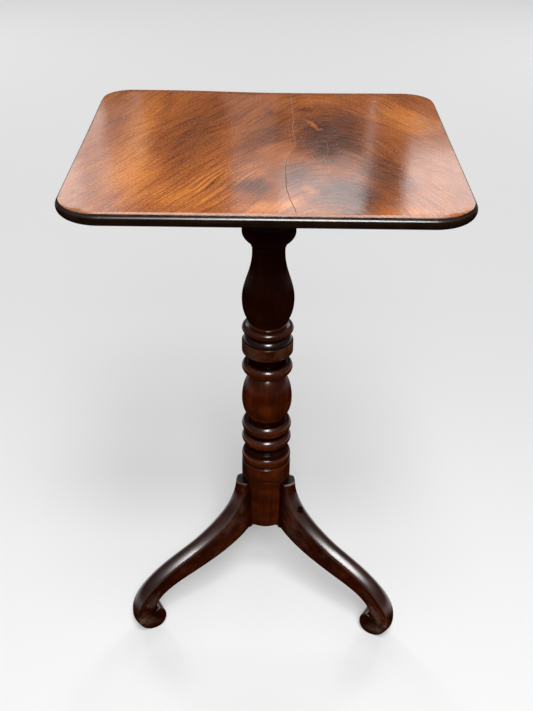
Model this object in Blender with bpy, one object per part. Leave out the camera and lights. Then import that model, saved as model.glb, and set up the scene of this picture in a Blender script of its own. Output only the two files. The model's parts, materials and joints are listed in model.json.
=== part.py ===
"""Tripod side table with a turned column, scroll feet and a top that tips up on a block."""
import math

import bmesh
import bpy
from mathutils import Vector

# Overall sizes, in metres
TABLE_HEIGHT = 0.698
TOP_WIDTH = 0.442
TOP_DEPTH = 0.417
TOP_THICKNESS = 0.014
TOP_CORNER_RADIUS = 0.050
TOP_SIDE_SHIFT = -0.0032
BASE_TURN = math.radians(-1.2)

# Clearances, and how far a cut runs on past the piece that it cuts
SEAT_GAP = 0.0003
RUNNING_GAP = 0.0005
SIDE_GAP = 0.0008
CUT_OVERRUN = 0.010

# Moulded edge of the top
EDGE_NOSE_HEIGHT = 0.0075
EDGE_NOSE_UNDERCUT = 0.0065
EDGE_NOSE_RETURN = 0.0016
EDGE_STEP_HEIGHT = 0.0020
EDGE_STEP_WIDTH = 0.0014
EDGE_ARRIS = 0.0007

# Turned column, radii
COLUMN_RADIUS = 0.034
DRUM_RADIUS = 0.029
NECK_RADIUS = 0.0210
NECK_BEAD_RADIUS = 0.0224
BALUSTER_FOOT_RADIUS = 0.0245
RING_NECK_RADIUS = 0.0255
DISC_NECK_RADIUS = 0.0245
BALL_NECK_RADIUS = 0.0225
LOW_STEP_RADIUS = 0.0280
HIGH_STEP_RADIUS = 0.0300
QUIRK_RADIUS = 0.0305
FILLET_DEPTH = 0.0012
CAPITAL_FLARE = 0.0040
FOOT_FULLNESS = 0.0050
BALL_CROWN_FULLNESS = 0.0070

# Turned column, levels above the floor as drawn; the turning stretches with the room under the block
TURNING_TOP = 0.6523
COLUMN_BOTTOM = 0.1355
BASE_TOP = 0.2385
RING_SIX_LEVEL = 0.2476
RING_SIX_HALF = 0.0071
STEP_LEVEL = 0.2605
STEP_TOP = 0.2650
RING_FIVE_LEVEL = 0.2776
RING_FIVE_HALF = 0.0089
RING_FOUR_LEVEL = 0.2991
RING_FOUR_HALF = 0.0096
BALL_BOTTOM = 0.3125
BALL_LEVEL = 0.3409
BALL_TOP = 0.3812
RING_THREE_LEVEL = 0.3926
RING_THREE_HALF = 0.0092
DISC_BOTTOM = 0.4170
DISC_TOP = 0.4330
DISC_CROWN = 0.4425
RING_ONE_LEVEL = 0.4513
RING_ONE_HALF = 0.0066
BALUSTER_BOTTOM = 0.4605
BALUSTER_LEVEL = 0.4937
BALUSTER_TOP = 0.5600
CAPITAL_BOTTOM = 0.5715
CAPITAL_LEVEL = 0.5885
CAPITAL_BAND = 0.0100
CAPITAL_CROWN = 0.6060
CAPITAL_CROWN_INSET = 0.0040
COLUMN_SIDES = 32

# Tenon of the column in the block, and its wedge
TENON_RADIUS = 0.016
TENON_RECESS = 0.0005
WEDGE_LENGTH = 0.026
WEDGE_TOP_WIDTH = 0.0050
WEDGE_BOTTOM_WIDTH = 0.0020
WEDGE_DEPTH = 0.020

# Legs, in the plane of the leg: distance from the column axis and level
LEG_THICKNESS = 0.025
LEG_ARRIS = 0.0055
LEG_LOW_ARRIS_SHARE = 0.22
SHOULDER_ARRIS_SHARE = 0.12
SHOULDER_REACH = 0.0415
SHOULDER_LEVEL = 0.2115
LEG_WAIST_REACH = 0.115
LEG_WAIST_TOP = 0.1185
LEG_UNDER_REACH = 0.125
LEG_UNDER_LEVEL = 0.0830
LEG_ROOT_LEVEL = 0.1325
FOOT_REACH = 0.2105
FOOT_OUTER_LEVEL = 0.028
FOOT_CENTRE_REACH = 0.188
FOOT_FLAT = 0.008
SCROLL_INNER_REACH = 0.1695
SCROLL_INNER_LEVEL = 0.0200
SCROLL_CROWN_LEVEL = 0.0345
SCROLL_NOTCH_REACH = 0.1860
SCROLL_NOTCH_LEVEL = 0.0310
LEG_COUNT = 3
LEG_NAMES = ("leg_front_left", "leg_front_right", "leg_back")

# Sliding dovetail that joins each leg to the column
DOVETAIL_DEPTH = 0.014
DOVETAIL_NECK = 0.010
DOVETAIL_WIDTH = 0.015
DOVETAIL_TOP = 0.200

# Screw in the outer face of the right front leg
LEG_SCREW_LEVEL = 0.1655
LEG_SCREW_OFFSET = 0.0062
LEG_SCREW_AIM = 0.015
LEG_SCREW_TIP = 0.008
LEG_SCREW_HEAD_DEPTH = 0.0050

# Iron brace under the base
BRACE_THICKNESS = 0.0025
BRACE_WIDTH = 0.015
BRACE_REACH = 0.078
BRACE_HUB_RADIUS = 0.0165
BRACE_SCREW_REACHES = (0.052, 0.070)

# Block, pins and bearers under the top
BLOCK_WIDTH = 0.118
BLOCK_DEPTH = 0.124
PIVOT_DROP = 0.016
PIN_RADIUS = 0.004
PIN_DEPTH = 0.026
PIN_HEAD_RADIUS = 0.0065
PIN_HEAD_HEIGHT = 0.0028
PIN_SIDES = 24
BEARER_WIDTH = 0.024
BEARER_HEIGHT = 0.028
BEARER_LENGTH = 0.290
BEARER_END_HEIGHT = 0.009
BEARER_END_LENGTH = 0.055
BEARER_SCREW_SPACING = 0.105
BEARER_SCREWS_EACH = 3
BEARER_SCREW_POCKET = 0.010
BEARER_SCREW_TIP_GAP = 0.005

# Wood screws
SCREW_RADIUS = 0.0019
SCREW_HEAD_RADIUS = 0.0038
SCREW_HEAD_HEIGHT = 0.0024
SMALL_SCREW_RADIUS = 0.0013
SMALL_SCREW_HEAD_RADIUS = 0.0026
SMALL_SCREW_HEAD_HEIGHT = 0.0012
BRACE_SCREW_LENGTH = 0.014
SMALL_SCREW_LENGTH = 0.010
SCREW_SIDES = 12

# Brass sliding catch under the top, and its keeper on the block
BOLT_WIDTH = 0.008
BOLT_HEIGHT = 0.005
BOLT_LENGTH = 0.054
BOLT_TRAVEL = 0.009
BOLT_STANDOFF = 0.0010
BOLT_NOSE = 0.0015
CATCH_PLATE_THICKNESS = 0.0030
CATCH_PLATE_WIDTH = 0.034
CATCH_PLATE_LENGTH = 0.050
CATCH_PLATE_SETBACK = 0.004
CATCH_CASE_WALL = 0.0014
CATCH_CASE_LENGTH = 0.024
CATCH_CASE_SETBACK = 0.002
CATCH_SCREW_SIDE = 0.0110
CATCH_SCREW_PITCH = 0.015
KNOB_RADIUS = 0.0055
KNOB_HEIGHT = 0.010
KNOB_SHANK_RADIUS = 0.0020
KNOB_FROM_END = 0.007
KEEPER_THICKNESS = 0.0012
KEEPER_WIDTH = 0.034
KEEPER_HEIGHT = 0.016
KEEPER_SCREW_SIDE = 0.0115
MORTISE_DEPTH = 0.010

# Levels and places that follow from the sizes above
TOP_UNDERSIDE = TABLE_HEIGHT - TOP_THICKNESS
PIVOT_LEVEL = TOP_UNDERSIDE - PIVOT_DROP
BLOCK_NOSE_RADIUS = PIVOT_DROP - SEAT_GAP
BLOCK_TOP = PIVOT_LEVEL + BLOCK_NOSE_RADIUS
BLOCK_BOTTOM = PIVOT_LEVEL - BLOCK_NOSE_RADIUS
TURNING_STRETCH = (BLOCK_BOTTOM - BASE_TOP) / (TURNING_TOP - BASE_TOP)
PIVOT_SETBACK = -(BLOCK_DEPTH / 2 - BLOCK_NOSE_RADIUS)
BLOCK_BACK = BLOCK_DEPTH / 2
AXIS_X = -TOP_SIDE_SHIFT
AXIS_Y = -(max(FOOT_REACH, TOP_DEPTH / 2) - TOP_DEPTH / 2) / 2
BEARER_CENTRE = BLOCK_WIDTH / 2 + SIDE_GAP + BEARER_WIDTH / 2
PLATE_BOTTOM = TOP_UNDERSIDE - SEAT_GAP - CATCH_PLATE_THICKNESS
BOLT_TOP = PLATE_BOTTOM - SEAT_GAP
BOLT_LEVEL = BOLT_TOP - BOLT_HEIGHT / 2
BOLT_TIP = BLOCK_BACK + SEAT_GAP + KEEPER_THICKNESS + BOLT_STANDOFF
PLATE_FRONT = BLOCK_BACK + CATCH_PLATE_SETBACK
DOVETAIL_ROOT = COLUMN_RADIUS - DOVETAIL_DEPTH


def clear_scene():
    for item in list(bpy.data.objects):
        bpy.data.objects.remove(item, do_unlink=True)


def make_material(name, colour, roughness, metallic=0.0):
    material = bpy.data.materials.new(name)
    material.use_nodes = True
    shader = material.node_tree.nodes["Principled BSDF"]
    shader.inputs["Base Color"].default_value = (*colour, 1.0)
    shader.inputs["Roughness"].default_value = roughness
    shader.inputs["Metallic"].default_value = metallic
    return material


def add_object(name, mesh, material=None, parent=None, location=(0, 0, 0), rotation=(0, 0, 0)):
    item = bpy.data.objects.new(name, mesh)
    bpy.context.scene.collection.objects.link(item)
    item.parent = parent
    item.location = location
    item.rotation_euler = rotation
    if material is not None:
        mesh.materials.append(material)
    return item


def add_empty(name, parent=None, location=(0, 0, 0), rotation=(0, 0, 0)):
    item = bpy.data.objects.new(name, None)
    bpy.context.scene.collection.objects.link(item)
    item.parent = parent
    item.location = location
    item.rotation_euler = rotation
    return item


def as_cutter(item):
    item.hide_render = True
    item.display_type = "WIRE"
    return item


def add_boolean(target, tool, operation):
    modifier = target.modifiers.new(f"{operation.lower()} {tool.name}", "BOOLEAN")
    modifier.operation = operation
    modifier.solver = "EXACT"
    modifier.object = tool


def finish_mesh(bm, name):
    bmesh.ops.remove_doubles(bm, verts=bm.verts, dist=1e-6)
    bmesh.ops.recalc_face_normals(bm, faces=bm.faces)
    mesh = bpy.data.meshes.new(name)
    bm.to_mesh(mesh)
    bm.free()
    mesh.shade_smooth()
    mesh.set_sharp_from_angle(angle=math.radians(35))
    return mesh


def bezier(start, first, second, end, count):
    """Points of one curve, from its start to just before its end."""
    points = []
    for step in range(count):
        t = step / count
        s = 1 - t
        points.append(tuple(
            s ** 3 * a + 3 * s * s * t * b + 3 * s * t * t * c + t ** 3 * d
            for a, b, c, d in zip(start, first, second, end)))
    return points


def half_ring(level, half, neck, reach, count=6):
    """Half-round moulding on the column, from its top edge down to its bottom edge."""
    points = []
    for step in range(count + 1):
        angle = math.pi / 2 - math.pi * step / count
        points.append((neck + (reach - neck) * math.cos(angle), level + half * math.sin(angle)))
    return points


def prism(name, outline, depth, plane="XZ"):
    """A flat outline given depth, centred on the third axis."""
    bm = bmesh.new()
    corners = []
    for a, b in outline:
        if plane == "XZ":
            place = (a, -depth / 2, b)
        elif plane == "YZ":
            place = (-depth / 2, a, b)
        else:
            place = (a, b, -depth / 2)
        corners.append(bm.verts.new(place))
    face = bm.faces.new(corners)
    grown = bmesh.ops.extrude_face_region(bm, geom=[face])
    shift = {"XZ": (0, depth, 0), "YZ": (depth, 0, 0), "XY": (0, 0, depth)}[plane]
    moved = [item for item in grown["geom"] if isinstance(item, bmesh.types.BMVert)]
    bmesh.ops.translate(bm, verts=moved, vec=shift)
    return finish_mesh(bm, name)


def box(name, low, high):
    bm = bmesh.new()
    bmesh.ops.create_cube(bm, size=1.0)
    for vert in bm.verts:
        vert.co = Vector([a + (b - a) * (c + 0.5) for a, b, c in zip(low, high, vert.co)])
    return finish_mesh(bm, name)


def turned(name, profile, sides, material=None, parent=None, location=(0, 0, 0), rotation=(0, 0, 0)):
    """A profile of radius and level, from the top down, turned about its own axis."""
    bm = bmesh.new()
    verts = [bm.verts.new((radius, 0, level)) for radius, level in profile]
    for first, second in zip(verts, verts[1:]):
        bm.edges.new((first, second))
    mesh = bpy.data.meshes.new(name)
    bm.to_mesh(mesh)
    bm.free()
    item = add_object(name, mesh, material, parent, location, rotation)
    screw = item.modifiers.new("turning", "SCREW")
    screw.axis = "Z"
    screw.angle = 2 * math.pi
    screw.steps = sides
    screw.render_steps = sides
    screw.use_merge_vertices = True
    screw.merge_threshold = 0.00001
    screw.use_smooth_shade = True
    return item


def screw_profile(length, radius, head_radius, head_height, grow=0.0, pocket=0.0):
    """Countersunk screw with its head up at level 0 and its point below; a hole may have a pocket above."""
    point = min(2.5 * radius, length / 2)
    return [
        (0, grow + pocket),
        (head_radius + grow, grow + pocket),
        (head_radius + grow, -0.15 * head_height - grow / 2),
        (radius + grow, -head_height - grow / 2),
        (radius + grow, -(length - point) - grow / 2),
        (radius / 3 + grow, -length - grow),
        (0, -length - grow),
    ]


def screw_mesh(name, places, size, grow=0.0, pocket=0.0):
    """Turned screws of one size; a place is a head centre and the way the head faces."""
    bm = bmesh.new()
    for centre, facing in places:
        turn = Vector((0, 0, 1)).rotation_difference(Vector(facing).normalized())
        rings = []
        for reach, level in screw_profile(*size, grow, pocket)[1:-1]:
            ring = []
            for side in range(SCREW_SIDES):
                angle = 2 * math.pi * side / SCREW_SIDES
                place = Vector((reach * math.cos(angle), reach * math.sin(angle), level))
                ring.append(bm.verts.new(Vector(centre) + turn @ place))
            rings.append(ring)
        for upper, lower in zip(rings, rings[1:]):
            for side in range(SCREW_SIDES):
                after = (side + 1) % SCREW_SIDES
                bm.faces.new((upper[side], lower[side], lower[after], upper[after]))
        bm.faces.new(rings[0])
        bm.faces.new(list(reversed(rings[-1])))
    return finish_mesh(bm, name)


def add_screws(name, places, size, material, parent):
    """One object for each screw, all of one shape, turned to face along its own hole."""
    mesh = screw_mesh(name, [((0, 0, 0), (0, 0, 1))], size)
    mesh.materials.append(material)
    for number, (centre, facing) in enumerate(places, 1):
        turn = Vector((0, 0, 1)).rotation_difference(Vector(facing).normalized()).to_euler()
        label = name if len(places) == 1 else f"{name}_{number}"
        add_object(label, mesh, None, parent, centre, turn)


def add_screw_holes(name, places, size, parent, pocket=0.0):
    """Cutter for the holes that the screws sit in."""
    return as_cutter(add_object(name, screw_mesh(name, places, size, SEAT_GAP, pocket), None, parent))


def column_profile():
    """Outline of the turned column from the top of its tenon to the underside of its base."""
    reach = COLUMN_RADIUS
    points = [(DRUM_RADIUS, CAPITAL_CROWN), (reach - CAPITAL_CROWN_INSET, CAPITAL_CROWN)]
    band_top = CAPITAL_LEVEL + CAPITAL_BAND
    points += bezier((reach - CAPITAL_CROWN_INSET, CAPITAL_CROWN - FILLET_DEPTH),
                     (reach - CAPITAL_CROWN_INSET / 3, CAPITAL_CROWN - 2 * FILLET_DEPTH),
                     (reach, band_top + 2 * FILLET_DEPTH), (reach, band_top), 4)
    rise = CAPITAL_LEVEL - CAPITAL_BOTTOM
    points += bezier((reach, CAPITAL_LEVEL), (reach, CAPITAL_LEVEL - 0.45 * rise),
                     (NECK_BEAD_RADIUS + CAPITAL_FLARE, CAPITAL_BOTTOM + 0.32 * rise),
                     (NECK_BEAD_RADIUS, CAPITAL_BOTTOM), 8)
    points += [(NECK_BEAD_RADIUS, CAPITAL_BOTTOM), (NECK_BEAD_RADIUS, CAPITAL_BOTTOM - 2 * FILLET_DEPTH)]
    points += [(NECK_RADIUS, CAPITAL_BOTTOM - 3 * FILLET_DEPTH)]
    sweep = BALUSTER_TOP - BALUSTER_LEVEL
    points += bezier((NECK_RADIUS, BALUSTER_TOP), (NECK_RADIUS, BALUSTER_TOP - 0.41 * sweep),
                     (reach, BALUSTER_LEVEL + 0.35 * sweep), (reach, BALUSTER_LEVEL), 9)
    fall = BALUSTER_LEVEL - BALUSTER_BOTTOM
    points += bezier((reach, BALUSTER_LEVEL), (reach, BALUSTER_LEVEL - 0.47 * fall),
                     (BALUSTER_FOOT_RADIUS + FOOT_FULLNESS, BALUSTER_BOTTOM + 0.22 * fall),
                     (BALUSTER_FOOT_RADIUS, BALUSTER_BOTTOM), 7)
    points += [(BALUSTER_FOOT_RADIUS, BALUSTER_BOTTOM)]
    points += half_ring(RING_ONE_LEVEL, RING_ONE_HALF, RING_NECK_RADIUS, reach)
    points += [(RING_NECK_RADIUS, DISC_CROWN)]
    points += bezier((RING_NECK_RADIUS + 2 * FILLET_DEPTH, DISC_CROWN),
                     (reach - 3 * FILLET_DEPTH, DISC_CROWN - FILLET_DEPTH),
                     (reach - FILLET_DEPTH, DISC_TOP + 3 * FILLET_DEPTH),
                     (reach - FILLET_DEPTH, DISC_TOP), 4)
    points += [(reach - FILLET_DEPTH, DISC_TOP + FILLET_DEPTH / 2), (reach, DISC_TOP)]
    points += [(reach, DISC_BOTTOM), (reach - FILLET_DEPTH, DISC_BOTTOM - FILLET_DEPTH)]
    points += [(DISC_NECK_RADIUS, DISC_BOTTOM - 2 * FILLET_DEPTH)]
    points += half_ring(RING_THREE_LEVEL, RING_THREE_HALF, DISC_NECK_RADIUS, reach)
    points += [(BALL_NECK_RADIUS, RING_THREE_LEVEL - RING_THREE_HALF)]
    crown = BALL_TOP - BALL_LEVEL
    points += bezier((BALL_NECK_RADIUS, BALL_TOP),
                     (BALL_NECK_RADIUS + BALL_CROWN_FULLNESS, BALL_TOP - 0.23 * crown),
                     (reach, BALL_LEVEL + 0.43 * crown), (reach, BALL_LEVEL), 7)
    belly = BALL_LEVEL - BALL_BOTTOM
    points += bezier((reach, BALL_LEVEL), (reach, BALL_LEVEL - 0.45 * belly),
                     (BALUSTER_FOOT_RADIUS + FOOT_FULLNESS, BALL_BOTTOM + 0.2 * belly),
                     (BALUSTER_FOOT_RADIUS, BALL_BOTTOM), 6)
    points += [(BALUSTER_FOOT_RADIUS, BALL_BOTTOM)]
    points += half_ring(RING_FOUR_LEVEL, RING_FOUR_HALF, RING_NECK_RADIUS, reach)
    points += half_ring(RING_FIVE_LEVEL, RING_FIVE_HALF, RING_NECK_RADIUS, reach)
    points += [(RING_NECK_RADIUS, STEP_TOP), (LOW_STEP_RADIUS, STEP_TOP), (LOW_STEP_RADIUS, STEP_LEVEL)]
    points += [(HIGH_STEP_RADIUS, STEP_LEVEL)]
    points += half_ring(RING_SIX_LEVEL, RING_SIX_HALF, HIGH_STEP_RADIUS, reach)
    points += [(QUIRK_RADIUS, RING_SIX_LEVEL - RING_SIX_HALF), (QUIRK_RADIUS, BASE_TOP + FILLET_DEPTH / 2)]
    points += [(reach - FILLET_DEPTH / 2, BASE_TOP + FILLET_DEPTH / 2), (reach, BASE_TOP)]
    turning = [(radius, BASE_TOP + (level - BASE_TOP) * TURNING_STRETCH) for radius, level in points]
    tenon_top = BLOCK_TOP - TENON_RECESS
    drum_top = BLOCK_BOTTOM - SEAT_GAP
    tenon = [(0, tenon_top), (TENON_RADIUS, tenon_top), (TENON_RADIUS, drum_top), (DRUM_RADIUS, drum_top)]
    return tenon + turning + [(reach, COLUMN_BOTTOM), (0, COLUMN_BOTTOM)]


def leg_upper_curve():
    """Outer edge of a leg, from its shoulder out to the widest point of its foot."""
    sweep = SHOULDER_LEVEL - LEG_WAIST_TOP
    run = LEG_WAIST_REACH - SHOULDER_REACH
    tangent = 0.29 * run
    drop = 0.255 * run
    points = bezier((SHOULDER_REACH, SHOULDER_LEVEL),
                    (SHOULDER_REACH + 0.02 * run, SHOULDER_LEVEL - 0.49 * sweep),
                    (LEG_WAIST_REACH - 2 * tangent, LEG_WAIST_TOP + 1.15 * drop),
                    (LEG_WAIST_REACH, LEG_WAIST_TOP), 10)
    rise = LEG_WAIST_TOP - FOOT_OUTER_LEVEL
    points += bezier((LEG_WAIST_REACH, LEG_WAIST_TOP),
                     (LEG_WAIST_REACH + 1.75 * tangent, LEG_WAIST_TOP - drop),
                     (FOOT_REACH, FOOT_OUTER_LEVEL + 0.57 * rise),
                     (FOOT_REACH, FOOT_OUTER_LEVEL), 12)
    return points


def leg_lower_curve(inner):
    """Under edge of a leg, from the notch of its scroll back to the column."""
    rise = LEG_UNDER_LEVEL - SCROLL_NOTCH_LEVEL
    run = SCROLL_NOTCH_REACH - LEG_UNDER_REACH
    points = bezier((SCROLL_NOTCH_REACH, SCROLL_NOTCH_LEVEL),
                    (SCROLL_NOTCH_REACH - 0.04 * run, SCROLL_NOTCH_LEVEL + 0.58 * rise),
                    (LEG_UNDER_REACH + 0.5 * run, LEG_UNDER_LEVEL - 0.21 * rise),
                    (LEG_UNDER_REACH, LEG_UNDER_LEVEL), 10)
    back = LEG_UNDER_REACH - COLUMN_RADIUS
    climb = LEG_ROOT_LEVEL - LEG_UNDER_LEVEL
    points += bezier((LEG_UNDER_REACH, LEG_UNDER_LEVEL),
                     (LEG_UNDER_REACH - 0.33 * back, LEG_UNDER_LEVEL + 0.22 * climb),
                     (COLUMN_RADIUS + 0.27 * back, LEG_ROOT_LEVEL - 0.52 * climb),
                     (COLUMN_RADIUS, LEG_ROOT_LEVEL), 9)
    points += [(COLUMN_RADIUS, LEG_ROOT_LEVEL), (inner, LEG_ROOT_LEVEL)]
    return points


def foot_curve():
    """Scroll foot, from its widest point under and round to its notch, with a flat to stand on."""
    half_flat = FOOT_FLAT / 2
    heel = FOOT_CENTRE_REACH + half_flat
    toe = FOOT_CENTRE_REACH - half_flat
    points = bezier((FOOT_REACH, FOOT_OUTER_LEVEL), (FOOT_REACH, 0.36 * FOOT_OUTER_LEVEL),
                    (heel + 0.62 * (FOOT_REACH - heel), 0), (heel, 0), 7)
    points += [(heel, 0)]
    points += bezier((toe, 0), (toe - 0.55 * (toe - SCROLL_INNER_REACH), 0),
                     (SCROLL_INNER_REACH, 0.42 * SCROLL_INNER_LEVEL),
                     (SCROLL_INNER_REACH, SCROLL_INNER_LEVEL), 6)
    middle = 0.5 * (SCROLL_INNER_REACH + SCROLL_NOTCH_REACH)
    curl = SCROLL_CROWN_LEVEL - SCROLL_INNER_LEVEL
    points += bezier((SCROLL_INNER_REACH, SCROLL_INNER_LEVEL),
                     (SCROLL_INNER_REACH, SCROLL_CROWN_LEVEL - 0.2 * curl),
                     (middle, SCROLL_CROWN_LEVEL + FILLET_DEPTH),
                     (SCROLL_NOTCH_REACH, SCROLL_NOTCH_LEVEL), 7)
    return points


def leg_mesh(name):
    """A leg sawn from a plank, with its upper edges rounded more than its lower ones."""
    inner = DOVETAIL_ROOT + DOVETAIL_DEPTH / 2
    upper = leg_upper_curve()
    foot = foot_curve()
    lower = leg_lower_curve(inner)
    outline = [(inner, SHOULDER_LEVEL)] + upper + foot + lower
    shares = [SHOULDER_ARRIS_SHARE]
    fade = 3
    for step in range(len(upper)):
        grown = min(1.0, max(0.0, step / fade))
        shares.append(SHOULDER_ARRIS_SHARE + (1 - SHOULDER_ARRIS_SHARE) * grown)
    for step in range(len(foot)):
        kept = max(0.0, 1 - step / 6)
        shares.append(LEG_LOW_ARRIS_SHARE + (1 - LEG_LOW_ARRIS_SHARE) * kept)
    shares += [LEG_LOW_ARRIS_SHARE] * (len(lower) - 1) + [0.0]
    bm = bmesh.new()
    weight = bm.edges.layers.float.new("bevel_weight_edge")
    sides = []
    for side in (-1, 1):
        sides.append([bm.verts.new((reach, side * LEG_THICKNESS / 2, level)) for reach, level in outline])
    count = len(outline)
    bm.faces.new(sides[0])
    bm.faces.new(list(reversed(sides[1])))
    for step in range(count):
        after = (step + 1) % count
        bm.faces.new((sides[0][after], sides[0][step], sides[1][step], sides[1][after]))
    for ring in sides:
        for step in range(count):
            edge = bm.edges.get((ring[step], ring[(step + 1) % count]))
            edge[weight] = shares[step]
    return finish_mesh(bm, name)


def surface_at(curve, reach):
    """Level and slope of a curve of points at one reach."""
    for (a, b), (c, d) in zip(curve, curve[1:]):
        if min(a, c) <= reach <= max(a, c) and a != c:
            share = (reach - a) / (c - a)
            return b + share * (d - b), (d - b) / (c - a)
    raise ValueError("the curve does not pass this reach")


def outer_reach_at(level):
    """Reach of the outer edge of a leg at one level below its shoulder."""
    curve = leg_upper_curve()
    for (a, b), (c, d) in zip(curve, curve[1:]):
        if min(b, d) <= level <= max(b, d) and b != d:
            return a + (level - b) / (d - b) * (c - a)
    raise ValueError("the leg does not reach this level")


def brace_outline():
    """Side view of one brace arm: flat under the column, then bent down along the leg."""
    near = COLUMN_BOTTOM - SEAT_GAP
    corner = DOVETAIL_ROOT - SEAT_GAP
    lower = leg_lower_curve(DOVETAIL_ROOT)
    slope = (surface_at(lower, BRACE_REACH)[0] - LEG_ROOT_LEVEL) / (BRACE_REACH - COLUMN_RADIUS)
    upper_side = [(0, near), (corner - BRACE_THICKNESS, near)]
    step_level = LEG_ROOT_LEVEL - SEAT_GAP
    upper_side += [(corner, step_level), (COLUMN_RADIUS, step_level)]
    lower_side = [(0, near - BRACE_THICKNESS), (corner - 2 * BRACE_THICKNESS, near - BRACE_THICKNESS)]
    lower_side += [(corner - BRACE_THICKNESS, step_level - BRACE_THICKNESS)]
    lower_side += [(COLUMN_RADIUS + slope * BRACE_THICKNESS / 2, step_level - BRACE_THICKNESS)]
    count = 8
    for step in range(1, count + 1):
        reach = COLUMN_RADIUS + (BRACE_REACH - COLUMN_RADIUS) * step / count
        level, lean = surface_at(lower, reach)
        normal = Vector((lean, -1)).normalized()
        upper_side.append((reach + normal.x * SEAT_GAP, level + normal.y * SEAT_GAP))
        far = SEAT_GAP + BRACE_THICKNESS
        lower_side.append((reach + normal.x * far, level + normal.y * far))
    return upper_side + list(reversed(lower_side))


def brace_screw_places():
    """Heads of the brace screws in the plane of a leg, and the way they face."""
    lower = leg_lower_curve(DOVETAIL_ROOT)
    places = []
    for reach in BRACE_SCREW_REACHES:
        level, lean = surface_at(lower, reach)
        normal = Vector((lean, 0, -1)).normalized()
        centre = Vector((reach, 0, level)) + normal * (SEAT_GAP + BRACE_THICKNESS)
        places.append((centre, normal))
    return places


def rounded_loop(width, depth, radius, inset, count=7):
    """Plan of the top, drawn in from its outermost edge by an inset."""
    points = []
    half_x = width / 2 - radius
    half_y = depth / 2 - radius
    for corner in range(4):
        sign_x = (1, -1, -1, 1)[corner]
        sign_y = (1, 1, -1, -1)[corner]
        for step in range(count + 1):
            angle = math.pi / 2 * (corner + step / count)
            points.append((sign_x * half_x + (radius - inset) * math.cos(angle),
                           sign_y * half_y + (radius - inset) * math.sin(angle)))
    return points


def top_levels():
    """Moulded edge of the top as pairs of inset and level, from the underside up."""
    levels = []
    count = 5
    for step in range(count + 1):
        angle = math.pi / 2 * step / count
        levels.append((EDGE_NOSE_UNDERCUT * (1 - math.sin(angle)),
                       EDGE_NOSE_HEIGHT * (1 - math.cos(angle))))
    shelf = TOP_THICKNESS - EDGE_STEP_HEIGHT
    count = 3
    for step in range(1, count + 1):
        angle = math.pi / 2 * step / count
        levels.append((EDGE_NOSE_RETURN * (1 - math.cos(angle)),
                       EDGE_NOSE_HEIGHT + (shelf - EDGE_NOSE_HEIGHT) * math.sin(angle)))
    riser = EDGE_NOSE_RETURN + EDGE_STEP_WIDTH
    levels += [(riser, shelf), (riser, TOP_THICKNESS - EDGE_ARRIS), (riser + EDGE_ARRIS, TOP_THICKNESS)]
    return levels


def top_mesh(name):
    bm = bmesh.new()
    rings = []
    for inset, level in top_levels():
        plan = rounded_loop(TOP_WIDTH, TOP_DEPTH, TOP_CORNER_RADIUS, inset)
        rings.append([bm.verts.new((x, y, level)) for x, y in plan])
    count = len(rings[0])
    for lower, upper in zip(rings, rings[1:]):
        for side in range(count):
            after = (side + 1) % count
            bm.faces.new((lower[side], lower[after], upper[after], upper[side]))
    bm.faces.new(list(reversed(rings[0])))
    bm.faces.new(rings[-1])
    return finish_mesh(bm, name)


def bearer_outline():
    """Side view of a bearer hanging from level 0, with ends that run out in a curve."""
    half = BEARER_LENGTH / 2
    inner = half - BEARER_END_LENGTH
    fall = BEARER_HEIGHT - BEARER_END_HEIGHT
    front = bezier((-half, -BEARER_END_HEIGHT), (-half + 0.5 * BEARER_END_LENGTH, -BEARER_END_HEIGHT),
                   (-inner - 0.5 * BEARER_END_LENGTH, -BEARER_END_HEIGHT - fall),
                   (-inner, -BEARER_HEIGHT), 8)
    front.append((-inner, -BEARER_HEIGHT))
    back = [(-reach, level) for reach, level in reversed(front)]
    return [(half, 0), (-half, 0)] + front + back


def block_outline():
    """Side view of the block: a round nose about the pivot at the front, square at the back."""
    points = [(BLOCK_BACK, BLOCK_BOTTOM), (BLOCK_BACK, BLOCK_TOP)]
    count = 14
    for step in range(count + 1):
        angle = math.pi / 2 + math.pi * step / count
        points.append((PIVOT_SETBACK + BLOCK_NOSE_RADIUS * math.cos(angle),
                       PIVOT_LEVEL + BLOCK_NOSE_RADIUS * math.sin(angle)))
    return points


def case_outline():
    """End view of the catch case: a channel for the bolt with a flange on each side."""
    inner = BOLT_WIDTH / 2 + RUNNING_GAP
    outer = inner + CATCH_CASE_WALL
    edge = CATCH_PLATE_WIDTH / 2
    top = PLATE_BOTTOM - SEAT_GAP
    floor = BOLT_TOP - BOLT_HEIGHT - RUNNING_GAP
    flange = top - CATCH_CASE_WALL
    right = [(inner, floor), (inner, top), (edge, top), (edge, flange), (outer, flange)]
    right.append((outer, floor - CATCH_CASE_WALL))
    left = [(-x, z) for x, z in reversed(right)]
    return right + left


def knob_profile():
    """Knob of the bolt with its shank up through the bolt."""
    top = BOLT_HEIGHT - SEAT_GAP
    neck = -0.25 * KNOB_HEIGHT
    points = [(0, top), (KNOB_SHANK_RADIUS, top), (KNOB_SHANK_RADIUS, -SEAT_GAP)]
    points += [(1.4 * KNOB_SHANK_RADIUS, -SEAT_GAP), (KNOB_SHANK_RADIUS, neck)]
    half = (KNOB_HEIGHT + neck) / 2
    count = 6
    for step in range(1, count):
        angle = math.pi / 2 - math.pi * step / count
        points.append((KNOB_RADIUS * math.cos(angle), neck - half + half * math.sin(angle)))
    points.append((0, -KNOB_HEIGHT))
    return points


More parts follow.
